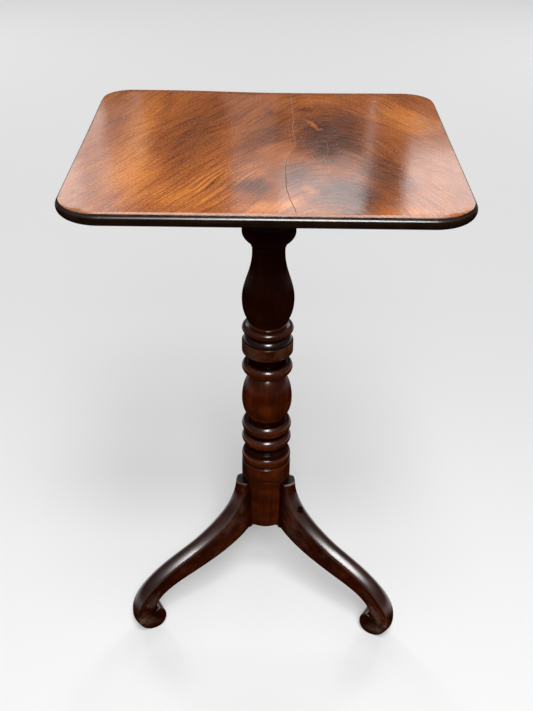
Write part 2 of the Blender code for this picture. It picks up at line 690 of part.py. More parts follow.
def pin_profile():
    """Pivot pin with its head up at level 0."""
    length = BEARER_WIDTH + SIDE_GAP + PIN_DEPTH
    top = PIN_HEAD_HEIGHT
    return [(0, top), (PIN_HEAD_RADIUS - 0.25 * top, top), (PIN_HEAD_RADIUS, 0.6 * top),
            (PIN_HEAD_RADIUS, SEAT_GAP), (PIN_RADIUS, SEAT_GAP), (PIN_RADIUS, -length), (0, -length)]


def dovetail_outline(grow):
    """Plan of a leg's dovetail tongue, grown all round for its socket."""
    neck = DOVETAIL_NECK / 2 + grow
    wide = DOVETAIL_WIDTH / 2 + grow
    outer = COLUMN_RADIUS + LEG_THICKNESS / 4
    flare = (wide - neck) / DOVETAIL_DEPTH
    root = DOVETAIL_ROOT - grow
    return [(root, -wide), (outer, -wide + flare * (outer - root)),
            (outer, wide - flare * (outer - root)), (root, wide)]


def plain_bore(name, radius, low, high, sides, parent, location=(0, 0, 0), rotation=(0, 0, 0)):
    profile = [(0, high), (radius, high), (radius, low), (0, low)]
    return as_cutter(turned(name, profile, sides, None, parent, location, rotation))


clear_scene()

mahogany_top = make_material("mahogany_top", (0.262, 0.083, 0.027), 0.22)
mahogany_dark = make_material("mahogany_dark", (0.060, 0.014, 0.007), 0.25)
mahogany_leg = make_material("mahogany_leg", (0.066, 0.017, 0.008), 0.28)
plain_wood = make_material("plain_wood", (0.115, 0.050, 0.024), 0.55)
iron = make_material("iron", (0.060, 0.055, 0.050), 0.55, 0.9)
steel = make_material("steel", (0.180, 0.170, 0.155), 0.45, 1.0)
brass = make_material("brass", (0.460, 0.300, 0.110), 0.35, 1.0)

table = add_empty("table_axis", location=(AXIS_X, AXIS_Y, 0))
stand = add_empty("stand_axis", parent=table, rotation=(0, 0, BASE_TURN))
tilt = add_empty("tilt_axis", parent=table, location=(0, PIVOT_SETBACK, PIVOT_LEVEL))
tip = Vector((0, PIVOT_SETBACK, PIVOT_LEVEL))

# Column with three dovetail sockets, a wedge kerf in its tenon and screw holes
column = turned("column", column_profile(), COLUMN_SIDES, mahogany_dark, stand)
leg_axes = []
for number in range(LEG_COUNT):
    heading = math.radians(-150) + 2 * math.pi * number / LEG_COUNT
    leg_axes.append(add_empty(f"leg_axis_{number}", parent=stand, rotation=(0, 0, heading)))

for number, axis in enumerate(leg_axes):
    low = COLUMN_BOTTOM - CUT_OVERRUN
    socket_height = DOVETAIL_TOP + SEAT_GAP - low
    socket_mesh = prism(f"socket_{number}", dovetail_outline(SEAT_GAP), socket_height, "XY")
    socket_place = (0, 0, low + socket_height / 2)
    socket = as_cutter(add_object(f"socket_{number}", socket_mesh, None, axis, socket_place))
    add_boolean(column, socket, "DIFFERENCE")

kerf_half = WEDGE_LENGTH / 2
wedge_top = BLOCK_TOP - TENON_RECESS
slope = (WEDGE_TOP_WIDTH - WEDGE_BOTTOM_WIDTH) / 2 / WEDGE_DEPTH
kerf_over = WEDGE_DEPTH / 4
kerf_outline = [
    (-WEDGE_BOTTOM_WIDTH / 2 - SEAT_GAP, wedge_top - WEDGE_DEPTH - SEAT_GAP),
    (WEDGE_BOTTOM_WIDTH / 2 + SEAT_GAP, wedge_top - WEDGE_DEPTH - SEAT_GAP),
    (WEDGE_TOP_WIDTH / 2 + SEAT_GAP + slope * kerf_over, wedge_top + kerf_over),
    (-WEDGE_TOP_WIDTH / 2 - SEAT_GAP - slope * kerf_over, wedge_top + kerf_over),
]
kerf = as_cutter(add_object("kerf", prism("kerf", kerf_outline, WEDGE_LENGTH + 2 * SEAT_GAP), None, stand))
add_boolean(column, kerf, "DIFFERENCE")
wedge_outline = [
    (-WEDGE_BOTTOM_WIDTH / 2, wedge_top - WEDGE_DEPTH),
    (WEDGE_BOTTOM_WIDTH / 2, wedge_top - WEDGE_DEPTH),
    (WEDGE_TOP_WIDTH / 2, wedge_top),
    (-WEDGE_TOP_WIDTH / 2, wedge_top),
]
add_object("tenon_wedge", prism("tenon_wedge", wedge_outline, WEDGE_LENGTH), plain_wood, stand)

# Legs: curved planks, hollowed to the column, each with its dovetail
cut_high = SHOULDER_LEVEL + CUT_OVERRUN
cut_low = LEG_ROOT_LEVEL - CUT_OVERRUN
cut_radius = COLUMN_RADIUS + SEAT_GAP
column_cut = [(0, cut_high), (cut_radius, cut_high), (cut_radius, cut_low), (0, cut_low)]
hollow = as_cutter(turned("leg_hollow", column_cut, COLUMN_SIDES, None, stand))
legs = []
for name, axis in zip(LEG_NAMES, leg_axes):
    leg = add_object(name, leg_mesh(name), mahogany_leg, axis)
    rounding = leg.modifiers.new("rounded arrises", "BEVEL")
    rounding.limit_method = "WEIGHT"
    rounding.width = LEG_ARRIS
    rounding.segments = 2
    rounding.use_clamp_overlap = False
    add_boolean(leg, hollow, "DIFFERENCE")
    tongue_low = COLUMN_BOTTOM + SEAT_GAP
    tongue_height = DOVETAIL_TOP - tongue_low
    tongue_mesh = prism(f"{name}_tongue", dovetail_outline(0), tongue_height, "XY")
    tongue = add_object(f"{name}_tongue", tongue_mesh, None, axis, (0, 0, tongue_low + tongue_height / 2))
    add_boolean(leg, as_cutter(tongue), "UNION")
    legs.append(leg)

# Screw through the right front leg into the column
right_axis = leg_axes[1]
screw_face = Vector((outer_reach_at(LEG_SCREW_LEVEL), LEG_SCREW_OFFSET, LEG_SCREW_LEVEL))
screw_aim = Vector((LEG_SCREW_AIM, 0, LEG_SCREW_LEVEL))
screw_way = (screw_face - screw_aim).normalized()
screw_head = screw_face - screw_way * LEG_SCREW_HEAD_DEPTH
leg_screw_length = (screw_head - screw_aim).length + LEG_SCREW_AIM - LEG_SCREW_TIP
leg_screw_size = (leg_screw_length, SCREW_RADIUS, SCREW_HEAD_RADIUS, SCREW_HEAD_HEIGHT)
leg_screw_places = [(screw_head, screw_way)]
add_screws("leg_screw", leg_screw_places, leg_screw_size, steel, right_axis)
leg_screw_hole = add_screw_holes("leg_screw_hole", leg_screw_places, leg_screw_size, right_axis,
                                 3 * LEG_SCREW_HEAD_DEPTH)
add_boolean(legs[1], leg_screw_hole, "DIFFERENCE")
add_boolean(column, leg_screw_hole, "DIFFERENCE")

# Iron brace: a hub under the column with an arm bent down along each leg
hub_low = COLUMN_BOTTOM - SEAT_GAP - BRACE_THICKNESS
hub_profile = [(0, hub_low + BRACE_THICKNESS), (BRACE_HUB_RADIUS, hub_low + BRACE_THICKNESS),
               (BRACE_HUB_RADIUS, hub_low), (0, hub_low)]
brace = turned("base_brace", hub_profile, SCREW_SIDES * 2, iron, stand)
brace_places = []
for number, axis in enumerate(leg_axes):
    arm_mesh = prism(f"brace_arm_{number}", brace_outline(), BRACE_WIDTH)
    arm = as_cutter(add_object(f"brace_arm_{number}", arm_mesh, None, axis))
    add_boolean(brace, arm, "UNION")
    heading = axis.rotation_euler[2]
    for centre, normal in brace_screw_places():
        turn = Vector((math.cos(heading), math.sin(heading)))
        place = Vector((centre.x * turn.x, centre.x * turn.y, centre.z))
        way = Vector((normal.x * turn.x, normal.x * turn.y, normal.z))
        brace_places.append((place, way))
brace_places.append((Vector((0, 0, hub_low)), Vector((0, 0, -1))))
brace_screw_size = (BRACE_SCREW_LENGTH, SCREW_RADIUS, SCREW_HEAD_RADIUS, SCREW_HEAD_HEIGHT)
add_screws("brace_screw", brace_places, brace_screw_size, steel, stand)
brace_holes = add_screw_holes("brace_screw_holes", brace_places, brace_screw_size, stand)
for item in [brace, column] + legs:
    add_boolean(item, brace_holes, "DIFFERENCE")

# Block on the column, bored for the tenon and the pivot pins
block_mesh = prism("pivot_block", block_outline(), BLOCK_WIDTH, "YZ")
block = add_object("pivot_block", block_mesh, plain_wood, table)
tenon_bore = plain_bore("tenon_bore", TENON_RADIUS + SEAT_GAP, BLOCK_BOTTOM - CUT_OVERRUN,
                        BLOCK_TOP + CUT_OVERRUN, COLUMN_SIDES, stand)
add_boolean(block, tenon_bore, "DIFFERENCE")
pin_seat = BLOCK_WIDTH / 2 + SIDE_GAP + BEARER_WIDTH
pin_tip = BLOCK_WIDTH / 2 - PIN_DEPTH
for side, word in ((-1, "left"), (1, "right")):
    turn = (0, side * math.pi / 2, 0)
    turned(f"pivot_pin_{word}", pin_profile(), PIN_SIDES, iron, table,
           (side * pin_seat, PIVOT_SETBACK, PIVOT_LEVEL), turn)
    bore = plain_bore(f"pin_bore_{word}", PIN_RADIUS + SEAT_GAP, pin_tip - SEAT_GAP, BLOCK_WIDTH,
                      PIN_SIDES, table, (0, PIVOT_SETBACK, PIVOT_LEVEL), turn)
    add_boolean(block, bore, "DIFFERENCE")

# Keeper on the back of the block, and the mortise behind it
window_x = BOLT_WIDTH / 2 + RUNNING_GAP
window_low = BOLT_LEVEL - BOLT_HEIGHT / 2 - RUNNING_GAP
window_high = BOLT_TOP + RUNNING_GAP
mortise_mesh = box("mortise", (-window_x, BLOCK_BACK - MORTISE_DEPTH, window_low),
                   (window_x, BLOCK_BACK + CUT_OVERRUN, window_high))
mortise = as_cutter(add_object("mortise", mortise_mesh, None, table))
add_boolean(block, mortise, "DIFFERENCE")
keeper_front = BLOCK_BACK + SEAT_GAP
keeper_mesh = box("keeper_plate", (-KEEPER_WIDTH / 2, keeper_front, BLOCK_TOP - SEAT_GAP - KEEPER_HEIGHT),
                  (KEEPER_WIDTH / 2, keeper_front + KEEPER_THICKNESS, BLOCK_TOP - SEAT_GAP))
keeper = add_object("keeper_plate", keeper_mesh, brass, table)
add_boolean(keeper, mortise, "DIFFERENCE")
keeper_level = BLOCK_TOP - SEAT_GAP - KEEPER_HEIGHT / 2
keeper_places = [(Vector((side * KEEPER_SCREW_SIDE, keeper_front + KEEPER_THICKNESS, keeper_level)),
                  Vector((0, 1, 0))) for side in (-1, 1)]
small_screw = (SMALL_SCREW_LENGTH, SMALL_SCREW_RADIUS, SMALL_SCREW_HEAD_RADIUS, SMALL_SCREW_HEAD_HEIGHT)
add_screws("keeper_screw", keeper_places, small_screw, brass, table)
keeper_holes = add_screw_holes("keeper_screw_holes", keeper_places, small_screw, table)
add_boolean(keeper, keeper_holes, "DIFFERENCE")
add_boolean(block, keeper_holes, "DIFFERENCE")

# Top, its bearers and their screws, carried by the tilt axis
top = add_object("top_board", top_mesh("top_board"), mahogany_top, tilt,
                 Vector((TOP_SIDE_SHIFT, 0, TOP_UNDERSIDE)) - tip)
bearers = []
bearer_places = []
for side, word in ((-1, "left"), (1, "right")):
    name = f"bearer_{word}"
    bearer = add_object(name, prism(name, bearer_outline(), BEARER_WIDTH, "YZ"), plain_wood, tilt,
                        Vector((side * BEARER_CENTRE, 0, TOP_UNDERSIDE - SEAT_GAP)) - tip)
    bore = plain_bore(f"{name}_bore", PIN_RADIUS + RUNNING_GAP, -BEARER_WIDTH, BEARER_WIDTH, PIN_SIDES,
                      tilt, (side * BEARER_CENTRE, 0, 0), (0, math.pi / 2, 0))
    add_boolean(bearer, bore, "DIFFERENCE")
    bearers.append(bearer)
    for number in range(BEARER_SCREWS_EACH):
        along = (number - (BEARER_SCREWS_EACH - 1) / 2) * BEARER_SCREW_SPACING
        head = TOP_UNDERSIDE - SEAT_GAP - BEARER_HEIGHT + BEARER_SCREW_POCKET
        bearer_places.append((Vector((side * BEARER_CENTRE, along, head)) - tip, Vector((0, 0, -1))))
bearer_screw_length = BEARER_HEIGHT - BEARER_SCREW_POCKET + TOP_THICKNESS - BEARER_SCREW_TIP_GAP
long_screw = (bearer_screw_length, SCREW_RADIUS, SCREW_HEAD_RADIUS, SCREW_HEAD_HEIGHT)
add_screws("bearer_screw", bearer_places, long_screw, steel, tilt)
bearer_holes = add_screw_holes("bearer_screw_holes", bearer_places, long_screw, tilt,
                               2 * BEARER_SCREW_POCKET)
for item in [top] + bearers:
    add_boolean(item, bearer_holes, "DIFFERENCE")

# Catch: back plate and case on the top, with the bolt that slides in the case
plate_mesh = box("catch_plate", (-CATCH_PLATE_WIDTH / 2, 0, 0),
                 (CATCH_PLATE_WIDTH / 2, CATCH_PLATE_LENGTH, CATCH_PLATE_THICKNESS))
plate = add_object("catch_plate", plate_mesh, brass, tilt, Vector((0, PLATE_FRONT, PLATE_BOTTOM)) - tip)
case_middle = PLATE_FRONT + CATCH_CASE_SETBACK + CATCH_CASE_LENGTH / 2
case = add_object("catch_case", prism("catch_case", case_outline(), CATCH_CASE_LENGTH), brass, tilt,
                  Vector((0, case_middle, 0)) - tip)
catch_places = []
for side in (-1, 1):
    for end in (-1, 1):
        centre = Vector((side * CATCH_SCREW_SIDE, case_middle + end * CATCH_SCREW_PITCH / 2,
                         PLATE_BOTTOM - SEAT_GAP - CATCH_CASE_WALL))
        catch_places.append((centre - tip, Vector((0, 0, -1))))
add_screws("catch_screw", catch_places, small_screw, brass, tilt)
catch_holes = add_screw_holes("catch_screw_holes", catch_places, small_screw, tilt)
for item in (plate, case, top):
    add_boolean(item, catch_holes, "DIFFERENCE")

track = add_empty("bolt_track", parent=tilt, location=Vector((0, BOLT_TIP, BOLT_LEVEL)) - tip)
bolt_bm = bmesh.new()
bmesh.ops.create_cube(bolt_bm, size=1.0)
for vert in bolt_bm.verts:
    vert.co = Vector((vert.co.x * BOLT_WIDTH, (vert.co.y + 0.5) * BOLT_LENGTH, vert.co.z * BOLT_HEIGHT))
nose_edges = [edge for edge in bolt_bm.edges if all(vert.co.y < BOLT_NOSE for vert in edge.verts)]
bmesh.ops.bevel(bolt_bm, geom=nose_edges, offset=BOLT_NOSE, segments=2, profile=0.5, affect="EDGES")
bolt = add_object("catch_bolt", finish_mesh(bolt_bm, "catch_bolt"), brass, track)
knob_place = (0, BOLT_LENGTH - KNOB_FROM_END, -BOLT_HEIGHT / 2)
turned("bolt_knob", knob_profile(), SCREW_SIDES * 2, brass, track, knob_place)
knob_bore = plain_bore("knob_bore", KNOB_SHANK_RADIUS + SEAT_GAP, -BOLT_HEIGHT, 2 * BOLT_HEIGHT,
                       SCREW_SIDES * 2, track, knob_place)
add_boolean(bolt, knob_bore, "DIFFERENCE")
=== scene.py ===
"""Looks of a tripod side table: figured top, turned column, scroll-foot legs and the tipping gear."""
import json
import math

import bmesh
import bpy
from bpy.props import FloatProperty, FloatVectorProperty, IntProperty, PointerProperty
from mathutils import Matrix, Vector
from mathutils.geometry import delaunay_2d_cdt

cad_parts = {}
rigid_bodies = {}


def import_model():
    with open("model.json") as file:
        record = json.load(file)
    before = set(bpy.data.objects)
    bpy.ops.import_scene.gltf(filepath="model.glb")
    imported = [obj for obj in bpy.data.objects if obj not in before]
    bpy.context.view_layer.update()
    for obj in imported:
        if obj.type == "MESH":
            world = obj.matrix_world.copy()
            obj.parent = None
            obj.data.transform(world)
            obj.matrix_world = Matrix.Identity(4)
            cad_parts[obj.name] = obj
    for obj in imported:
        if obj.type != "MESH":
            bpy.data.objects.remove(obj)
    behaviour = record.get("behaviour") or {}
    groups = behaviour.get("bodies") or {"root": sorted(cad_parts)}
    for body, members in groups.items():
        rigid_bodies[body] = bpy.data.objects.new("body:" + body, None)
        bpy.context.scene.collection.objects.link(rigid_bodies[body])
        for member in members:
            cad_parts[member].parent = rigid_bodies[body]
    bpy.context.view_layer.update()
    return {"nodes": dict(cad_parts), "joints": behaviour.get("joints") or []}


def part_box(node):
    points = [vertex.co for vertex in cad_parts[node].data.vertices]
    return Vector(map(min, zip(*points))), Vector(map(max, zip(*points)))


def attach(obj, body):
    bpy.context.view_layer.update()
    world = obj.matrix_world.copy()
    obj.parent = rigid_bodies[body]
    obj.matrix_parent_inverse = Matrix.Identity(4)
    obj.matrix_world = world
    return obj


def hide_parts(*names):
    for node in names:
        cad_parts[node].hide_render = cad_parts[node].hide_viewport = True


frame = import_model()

bl_info = {
    "name": "Tripod side table",
    "version": (1, 0, 0),
    "blender": (4, 5, 0),
    "location": "View3D > Sidebar > Table",
    "description": "Dresses the packed solids of a tip-up tripod table",
    "category": "Add Mesh",
}

COLUMN_LOW, COLUMN_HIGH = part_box("column")
TOP_LOW, TOP_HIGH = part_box("top_board")
BLOCK_LOW, BLOCK_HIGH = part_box("pivot_block")
AXIS = Vector(((BLOCK_LOW.x + BLOCK_HIGH.x) / 2, (BLOCK_LOW.y + BLOCK_HIGH.y) / 2, 0))
BASE_TURN = math.radians(-1.2)
HEADINGS = {"left": math.radians(-150), "right": math.radians(-30), "back": math.radians(90)}
LEG_NODES = {"left": "leg_front_left", "right": "leg_front_right", "back": "leg_back"}
PIVOT = Vector(frame["joints"][0]["pos_m"])
MM = 0.001
SEAT_GAP = 0.0003
BASE_TAPER = 0.0024
BRACE_THICKNESS = 2.5 * MM
BOLT_PLAY = 0.5 * MM
DOVETAIL_ROOT = 0.020
DOVETAIL_TOP = 0.200
CARD_DISTANCE = 1.5

# Outline of a leg: distances from the axis and levels
LEG_INNER = 0.027
ROOT_LEVEL = 0.1292
SHOULDER_LEVEL = 0.2115
SHOULDER_REACH = 0.0468
WAIST = (0.1180, 0.1229)
TOE = (0.2141, 0.028)
SOLE = (0.1865, 0)
HEEL = (0.1688, 0.0190)
CURL = (0.186, 0.031)
BEND = (0.1237, 0.0808)

# End of a shoulder in mm back from its edge and mm down, and its share of the rounding in plan
SHOULDER_STEPS = ((12.0, 0, 0.0), (7.0, 0, 0.45), (3.0, 0, 0.8), (0.6, 0, 1.0), (0.2, 0.08, 1.0),
                  (0, 0.3, 1.0))

# Levels of the column that carry painted shade, rubbing and a painted reflection of their own
PLAIN_BASE = 0.2125
SCRIBED_LINE = 0.21645
DISC_EDGES = (0.433, 0.417)
NECK_FILLET = 0.5705

# Crown of a leg: share that steepens, slope after it, slope at the side, and that slope over the mean
CROWN_RISE = 0.48
CROWN_EVEN = 0.62
CROWN_STEEP = 0.92
CROWN_SIDE_SLOPE = 1.68

# Camera solved from the photograph: lens and height in pixels, place from the axis, tilt and roll in degrees
SENSOR = 36.0
FOCAL_PIXELS = 1000
PHOTO_HEIGHT = 711
CAMERA_PLACE = Vector((-0.001224, -1.13288, 1.106408))
CAMERA_DOWN = 31.70
CAMERA_ROLL = 0.71

# Floor and room: half the floor's width, its tint under the lamps and the room's tint low and high
FLOOR_REACH = 9.0
FLOOR_UNDER_LAMPS = (0.56, 0.56, 0.56)
ROOM_LOW = (0.30, 0.30, 0.30)
ROOM_HIGH = (0.96, 1.0, 1.0)

# Pale cards that the top mirrors: left, right, low and high edge in metres, and share of the brightness
CARDS = {
    "right": (0.385, 0.85, 1.24, 1.62, 1.30),
    "middle": (0.03, 0.27, 1.30, 1.60, 1.15),
    "streak": (0.270, 0.284, 1.12, 1.36, 0.46),
    "left": (-0.85, -0.52, 1.262, 1.60, 1.20),
    "left_far": (-0.57, -0.445, 1.185, 1.243, 1.10),
    "left_soft": (-0.52, -0.43, 1.262, 1.60, 0.65),
    "left_faint": (-0.43, -0.37, 1.16, 1.60, 0.20),
    "left_streak": (-0.37, -0.34, 1.02, 1.30, 0.22),
    "near_middle": (-0.10, 0.02, 1.28, 1.60, 0.46),
    "far_middle": (-0.10, 0.02, 1.02, 1.28, 0.10),
}


# Settings that a user would change

def length(name, text, default):
    return FloatProperty(name=name, description=text, default=default, min=0.0, precision=4,
                         subtype="DISTANCE", unit="LENGTH")


def colour(name, text, default):
    return FloatVectorProperty(name=name, description=text, default=default, size=3, min=0.0, max=1.0,
                               subtype="COLOR")


def watts(name, text, default):
    return FloatProperty(name=name, description=text, default=default, unit="POWER")


class TableTopSettings(bpy.types.PropertyGroup):
    corner_radius: length("Front corner radius", "Radius of the rounded front corners of the top", 0.050)
    back_radius: length("Back corner radius", "Radius of the rounded back corners of the top", 0.040)
    crack_width: length("Crack width", "Half the width of the old shrinkage crack", 0.00042)
    crack_depth: length("Crack depth", "How far the crack opens into the board", 0.0006)
    lift_left: length("Lift, left", "How far the back left corner has lifted by warping", 0.0019)
    lift_right: length("Lift, right", "How far the back right corner has lifted by warping", 0.0009)
    grid: length("Grid", "Distance between the points of the flat faces", 0.009)


class TableColumnSettings(bpy.types.PropertyGroup):
    radius: length("Radius", "Largest radius of the turning", 0.034)
    ease: length("Ease", "Rounding of the turned arrises", 0.0006)
    sides: IntProperty(name="Sides", description="Faces round the turning", default=112, min=24)


class TableLegSettings(bpy.types.PropertyGroup):
    thickness: length("Thickness", "Thickness of the plank that a leg is sawn from", 0.025)
    arris: length("Arris", "Rounding of the upper edges along the middle of a leg", 0.0022)
    low_arris: length("Lower arris", "Rounding of the lower edges", 0.0011)
    crown: length("Crown", "How far the outer edge is crowned along the middle of a leg", 0.0055)
    shoulder_crown: length("Shoulder crown", "How far the end of a shoulder is rounded in plan", 0.0078)


class TableGearSettings(bpy.types.PropertyGroup):
    wood_arris: length("Wood arris", "Rounding of the edges of the block and the bearers", 0.0014)
    metal_arris: length("Metal arris", "Rounding of the edges of the small metalwork", 0.0004)
    slot_width: length("Slot width", "Width of the slot in a screw's head", 0.0009)
    slot_depth: length("Slot depth", "Depth of the slot in a screw's head", 0.0009)


class TableFinishSettings(bpy.types.PropertyGroup):
    top_light: colour("Top, light", "Lightest streaks of the top", (0.700, 0.245, 0.046))
    top_middle: colour("Top, middle", "Main colour of the top", (0.380, 0.102, 0.021))
    top_dark: colour("Top, dark", "Darkest streaks of the top", (0.125, 0.033, 0.012))
    flame: colour("Flame", "Salmon and orange flames of the top", (0.620, 0.200, 0.060))
    # The moulded edge's colours are painted far darker than the top, as shade on the edge.
    edge: colour("Edge", "Moulded edge of the top, darkened by handling", (0.0085, 0.0040, 0.0024))
    edge_light: colour("Edge, light", "Lightest streaks of the moulded edge", (0.016, 0.0075, 0.0042))
    edge_dark: colour("Edge, dark", "Darkest streaks of the moulded edge", (0.0042, 0.0022, 0.0015))
    column_light: colour("Column, light", "Lightest streaks of the column", (0.086, 0.0150, 0.0030))
    column_middle: colour("Column, middle", "Main colour of the column", (0.039, 0.0066, 0.0013))
    column_dark: colour("Column, dark", "Darkest streaks of the column", (0.018, 0.0031, 0.0008))
    leg_light: colour("Leg, light", "Lightest streaks of the legs", (0.056, 0.0100, 0.0022))
    leg_middle: colour("Leg, middle", "Main colour of the legs", (0.024, 0.0036, 0.0008))
    leg_dark: colour("Leg, dark", "Darkest streaks of the legs", (0.009, 0.0016, 0.0005))
    # This pale colour is also a painted highlight on the shoulders' rims, the top's upper arris and the
    # column's neck fillet.
    worn_and_highlight: colour("Worn wood", "Wood where the polish has rubbed away", (0.420, 0.300, 0.215))
    # Painted shade: this dark colour darkens grooves, recesses, the legs beside the column and near the
    # floor, and the column under the top.
    grime_and_shade: colour("Grime and shade", "Old wax and dirt in the corners", (0.0052, 0.0010, 0.0005))
    plain_light: colour("Plain wood, light", "Lightest streaks of the unpolished wood", (0.260, 0.125, 0.062))
    plain_middle: colour("Plain wood, middle", "Main colour of the unpolished wood", (0.165, 0.074, 0.036))
    plain_dark: colour("Plain wood, dark", "Darkest streaks of the unpolished wood", (0.075, 0.034, 0.018))
    iron: colour("Iron", "Blackened iron of the brace and the pins", (0.075, 0.070, 0.066))
    rust: colour("Rust", "Rust bloom on the iron", (0.130, 0.052, 0.022))
    steel: colour("Steel", "Old steel of the screws", (0.300, 0.285, 0.265))
    brass: colour("Brass", "Brass of the catch", (0.560, 0.385, 0.160))
    tarnish: colour("Tarnish", "Brown tarnish on the brass", (0.150, 0.092, 0.040))


class TableStageSettings(bpy.types.PropertyGroup):
    floor_near: colour("Floor, near", "Floor in front of the table", (0.858, 0.858, 0.858))
    floor_far: colour("Floor, far", "Floor far behind the table", (0.776, 0.776, 0.776))
    key_power: watts("Key light", "Power of the soft light in front", 53.0)
    high_power: watts("High light", "Power of the soft light high in front", 32.0)
    fill_power: watts("Back light", "Power of the soft light behind", 16.0)
    key_size: length("Key size", "Width of the soft light in front", 0.85)
    card: FloatProperty(name="Cards", description="Brightness of the pale cards that the top mirrors",
                        default=2.0)
    room: FloatProperty(name="Room light", description="Strength of the light from the room", default=0.25)


# Outlines

def bezier(start, first, second, end, count):
    """Points of one curve, from its start to just before its end."""
    points = []
    for step in range(count):
        t = step / count
        s = 1 - t
        points.append(tuple(s ** 3 * a + 3 * s * s * t * b + 3 * s * t * t * c + t ** 3 * d
                            for a, b, c, d in zip(start, first, second, end)))
    return points


def eased(points, reach, closed=False):
    """The same outline with each sharp corner rounded off."""
    clean = []
    for point in points:
        if not clean or (Vector(point) - Vector(clean[-1])).length > 1e-6:
            clean.append(point)
    result = []
    for number, point in enumerate(clean):
        if not closed and number in (0, len(clean) - 1):
            result.append(point)
            continue
        here = Vector(point)
        back = Vector(clean[number - 1]) - here
        ahead = Vector(clean[(number + 1) % len(clean)]) - here
        if math.pi - back.angle(ahead) < math.radians(20):
            result.append(point)
            continue
        cut = min(reach, 0.42 * back.length, 0.42 * ahead.length)
        start = here + back.normalized() * cut
        end = here + ahead.normalized() * cut
        for step in range(5):
            t = step / 4
            result.append(tuple((1 - t) ** 2 * start + 2 * t * (1 - t) * here + t * t * end))
    return result


def half_ring(level, half, neck, reach, count=18):
    """Half-round moulding, from its top edge down to its bottom edge."""
    points = []
    for step in range(count + 1):
        angle = math.pi / 2 - math.pi * step / count
        points.append((neck + (reach - neck) * math.cos(angle), level + half * math.sin(angle)))
    return points


def column_profile(reach, ease):
    """Outline of the column from the top of its tenon to the underside of its base."""
    neck = 25.5 * MM
    foot = 24.5 * MM
    top = COLUMN_HIGH.z
    drum = BLOCK_LOW.z - SEAT_GAP
    points = [(0, top), (16 * MM, top), (16 * MM, drum), (29 * MM, drum), (29 * MM, 0.606), (30 * MM, 0.606)]
    points += bezier((30 * MM, 0.6048), (32.7 * MM, 0.6036), (reach, 0.6009), (reach, 0.5985), 10)
    points += bezier((reach, 0.5885), (reach, 0.58085), (26.4 * MM, 0.57694), (22.4 * MM, 0.5715), 20)
    points += [(22.4 * MM, 0.5715), (22.4 * MM, 0.5691), (21 * MM, 0.5679)]
    points += bezier((21 * MM, 0.560), (21 * MM, 0.53282), (reach, 0.5169), (reach, 0.4937), 26)
    points += bezier((reach, 0.4937), (reach, 0.4781), (29.5 * MM, 0.4678), (foot, 0.4605), 18)
    points += [(foot, 0.4605)]
    points += half_ring(0.4513, 0.0066, neck, reach)
    points += [(neck, 0.4425)]
    points += bezier((27.9 * MM, 0.4425), (30.4 * MM, 0.4413), (32.8 * MM, 0.4366), (32.8 * MM, 0.433), 10)
    points += [(32.8 * MM, 0.4336), (reach, 0.433), (reach, 0.417), (32.8 * MM, 0.4158), (foot, 0.4146)]
    points += half_ring(0.3926, 0.0092, foot, reach)
    points += [(22.5 * MM, 0.3834)]
    points += bezier((22.5 * MM, 0.3812), (29.5 * MM, 0.37193), (reach, 0.35823), (reach, 0.3409), 20)
    points += bezier((reach, 0.3409), (reach, 0.32812), (29.5 * MM, 0.31818), (foot, 0.3125), 16)
    points += [(foot, 0.3125)]
    points += half_ring(0.2991, 0.0096, neck, reach)
    points += half_ring(0.2776, 0.0089, neck, reach)
    points += [(neck, 0.265), (28 * MM, 0.265), (28 * MM, 0.2628), (29 * MM, 0.2624), (29 * MM, 0.2605)]
    points += [(30 * MM, 0.2601)]
    points += half_ring(0.2476, 0.0071, 30 * MM, reach)
    points += [(30.5 * MM, 0.2405), (30.5 * MM, 0.2391), (33.4 * MM, 0.2391), (reach, 0.2385)]
    points += [(reach, 0.2172), (reach - 0.6 * MM, 0.2167), (reach - 0.6 * MM, 0.2164), (reach, 0.2156)]
    points += [(reach - BASE_TAPER, COLUMN_LOW.z), (0, COLUMN_LOW.z)]
    return eased(points, ease)


def leg_curves(reach):
    """Outer edge, scroll and under edge of a leg, in its own plane: distance from the axis and level."""
    run = WAIST[0] - SHOULDER_REACH
    fall = SHOULDER_LEVEL - WAIST[1]
    tangent = 0.29 * run
    drop = 0.255 * run
    upper = bezier((SHOULDER_REACH, SHOULDER_LEVEL),
                   (SHOULDER_REACH + 0.03 * run, SHOULDER_LEVEL - 0.46 * fall),
                   (WAIST[0] - 1.85 * tangent, WAIST[1] + 1.15 * drop), WAIST, 34)
    upper += bezier(WAIST, (WAIST[0] + 1.75 * tangent, WAIST[1] - drop),
                    (TOE[0], TOE[1] + 0.60 * (WAIST[1] - TOE[1])), TOE, 40)
    foot = bezier(TOE, (TOE[0], 0.0130), (0.2022, 0), SOLE, 28)
    foot += bezier(SOLE, (0.1762, 0), (HEEL[0], 0.0080), HEEL, 20)
    foot += bezier(HEEL, (HEEL[0], 0.0325), (0.1782, 0.0396), CURL, 20)
    rise = BEND[1] - CURL[1]
    back = CURL[0] - BEND[0]
    lower = bezier(CURL, (CURL[0] - 0.04 * back, CURL[1] + 0.58 * rise),
                   (BEND[0] + 0.5 * back, BEND[1] - 0.21 * rise), BEND, 30)
    span = BEND[0] - reach
    climb = ROOT_LEVEL - BEND[1]
    root = (reach, ROOT_LEVEL)
    lower += bezier(BEND, (BEND[0] - 0.33 * span, BEND[1] + 0.22 * climb),
                    (reach + 0.27 * span, ROOT_LEVEL - 0.52 * climb), root, 26)
    lower += [root, (LEG_INNER, ROOT_LEVEL)]
    return upper, foot, lower


def smooth(low, high, value):
    """Soft step from 0 at one limit to 1 at the other."""
    t = min(1.0, max(0.0, (value - low) / (high - low)))
    return t * t * (3 - 2 * t)


def between(value, low, low_full, high_full, high):
    """Full between two inner limits and gone outside two outer ones."""
    return smooth(low, low_full, value) * smooth(high, high_full, value)


def close_to(value, level, full, gone):
    """Full within one distance of a level and gone beyond another."""
    return smooth(gone, full, abs(value - level))


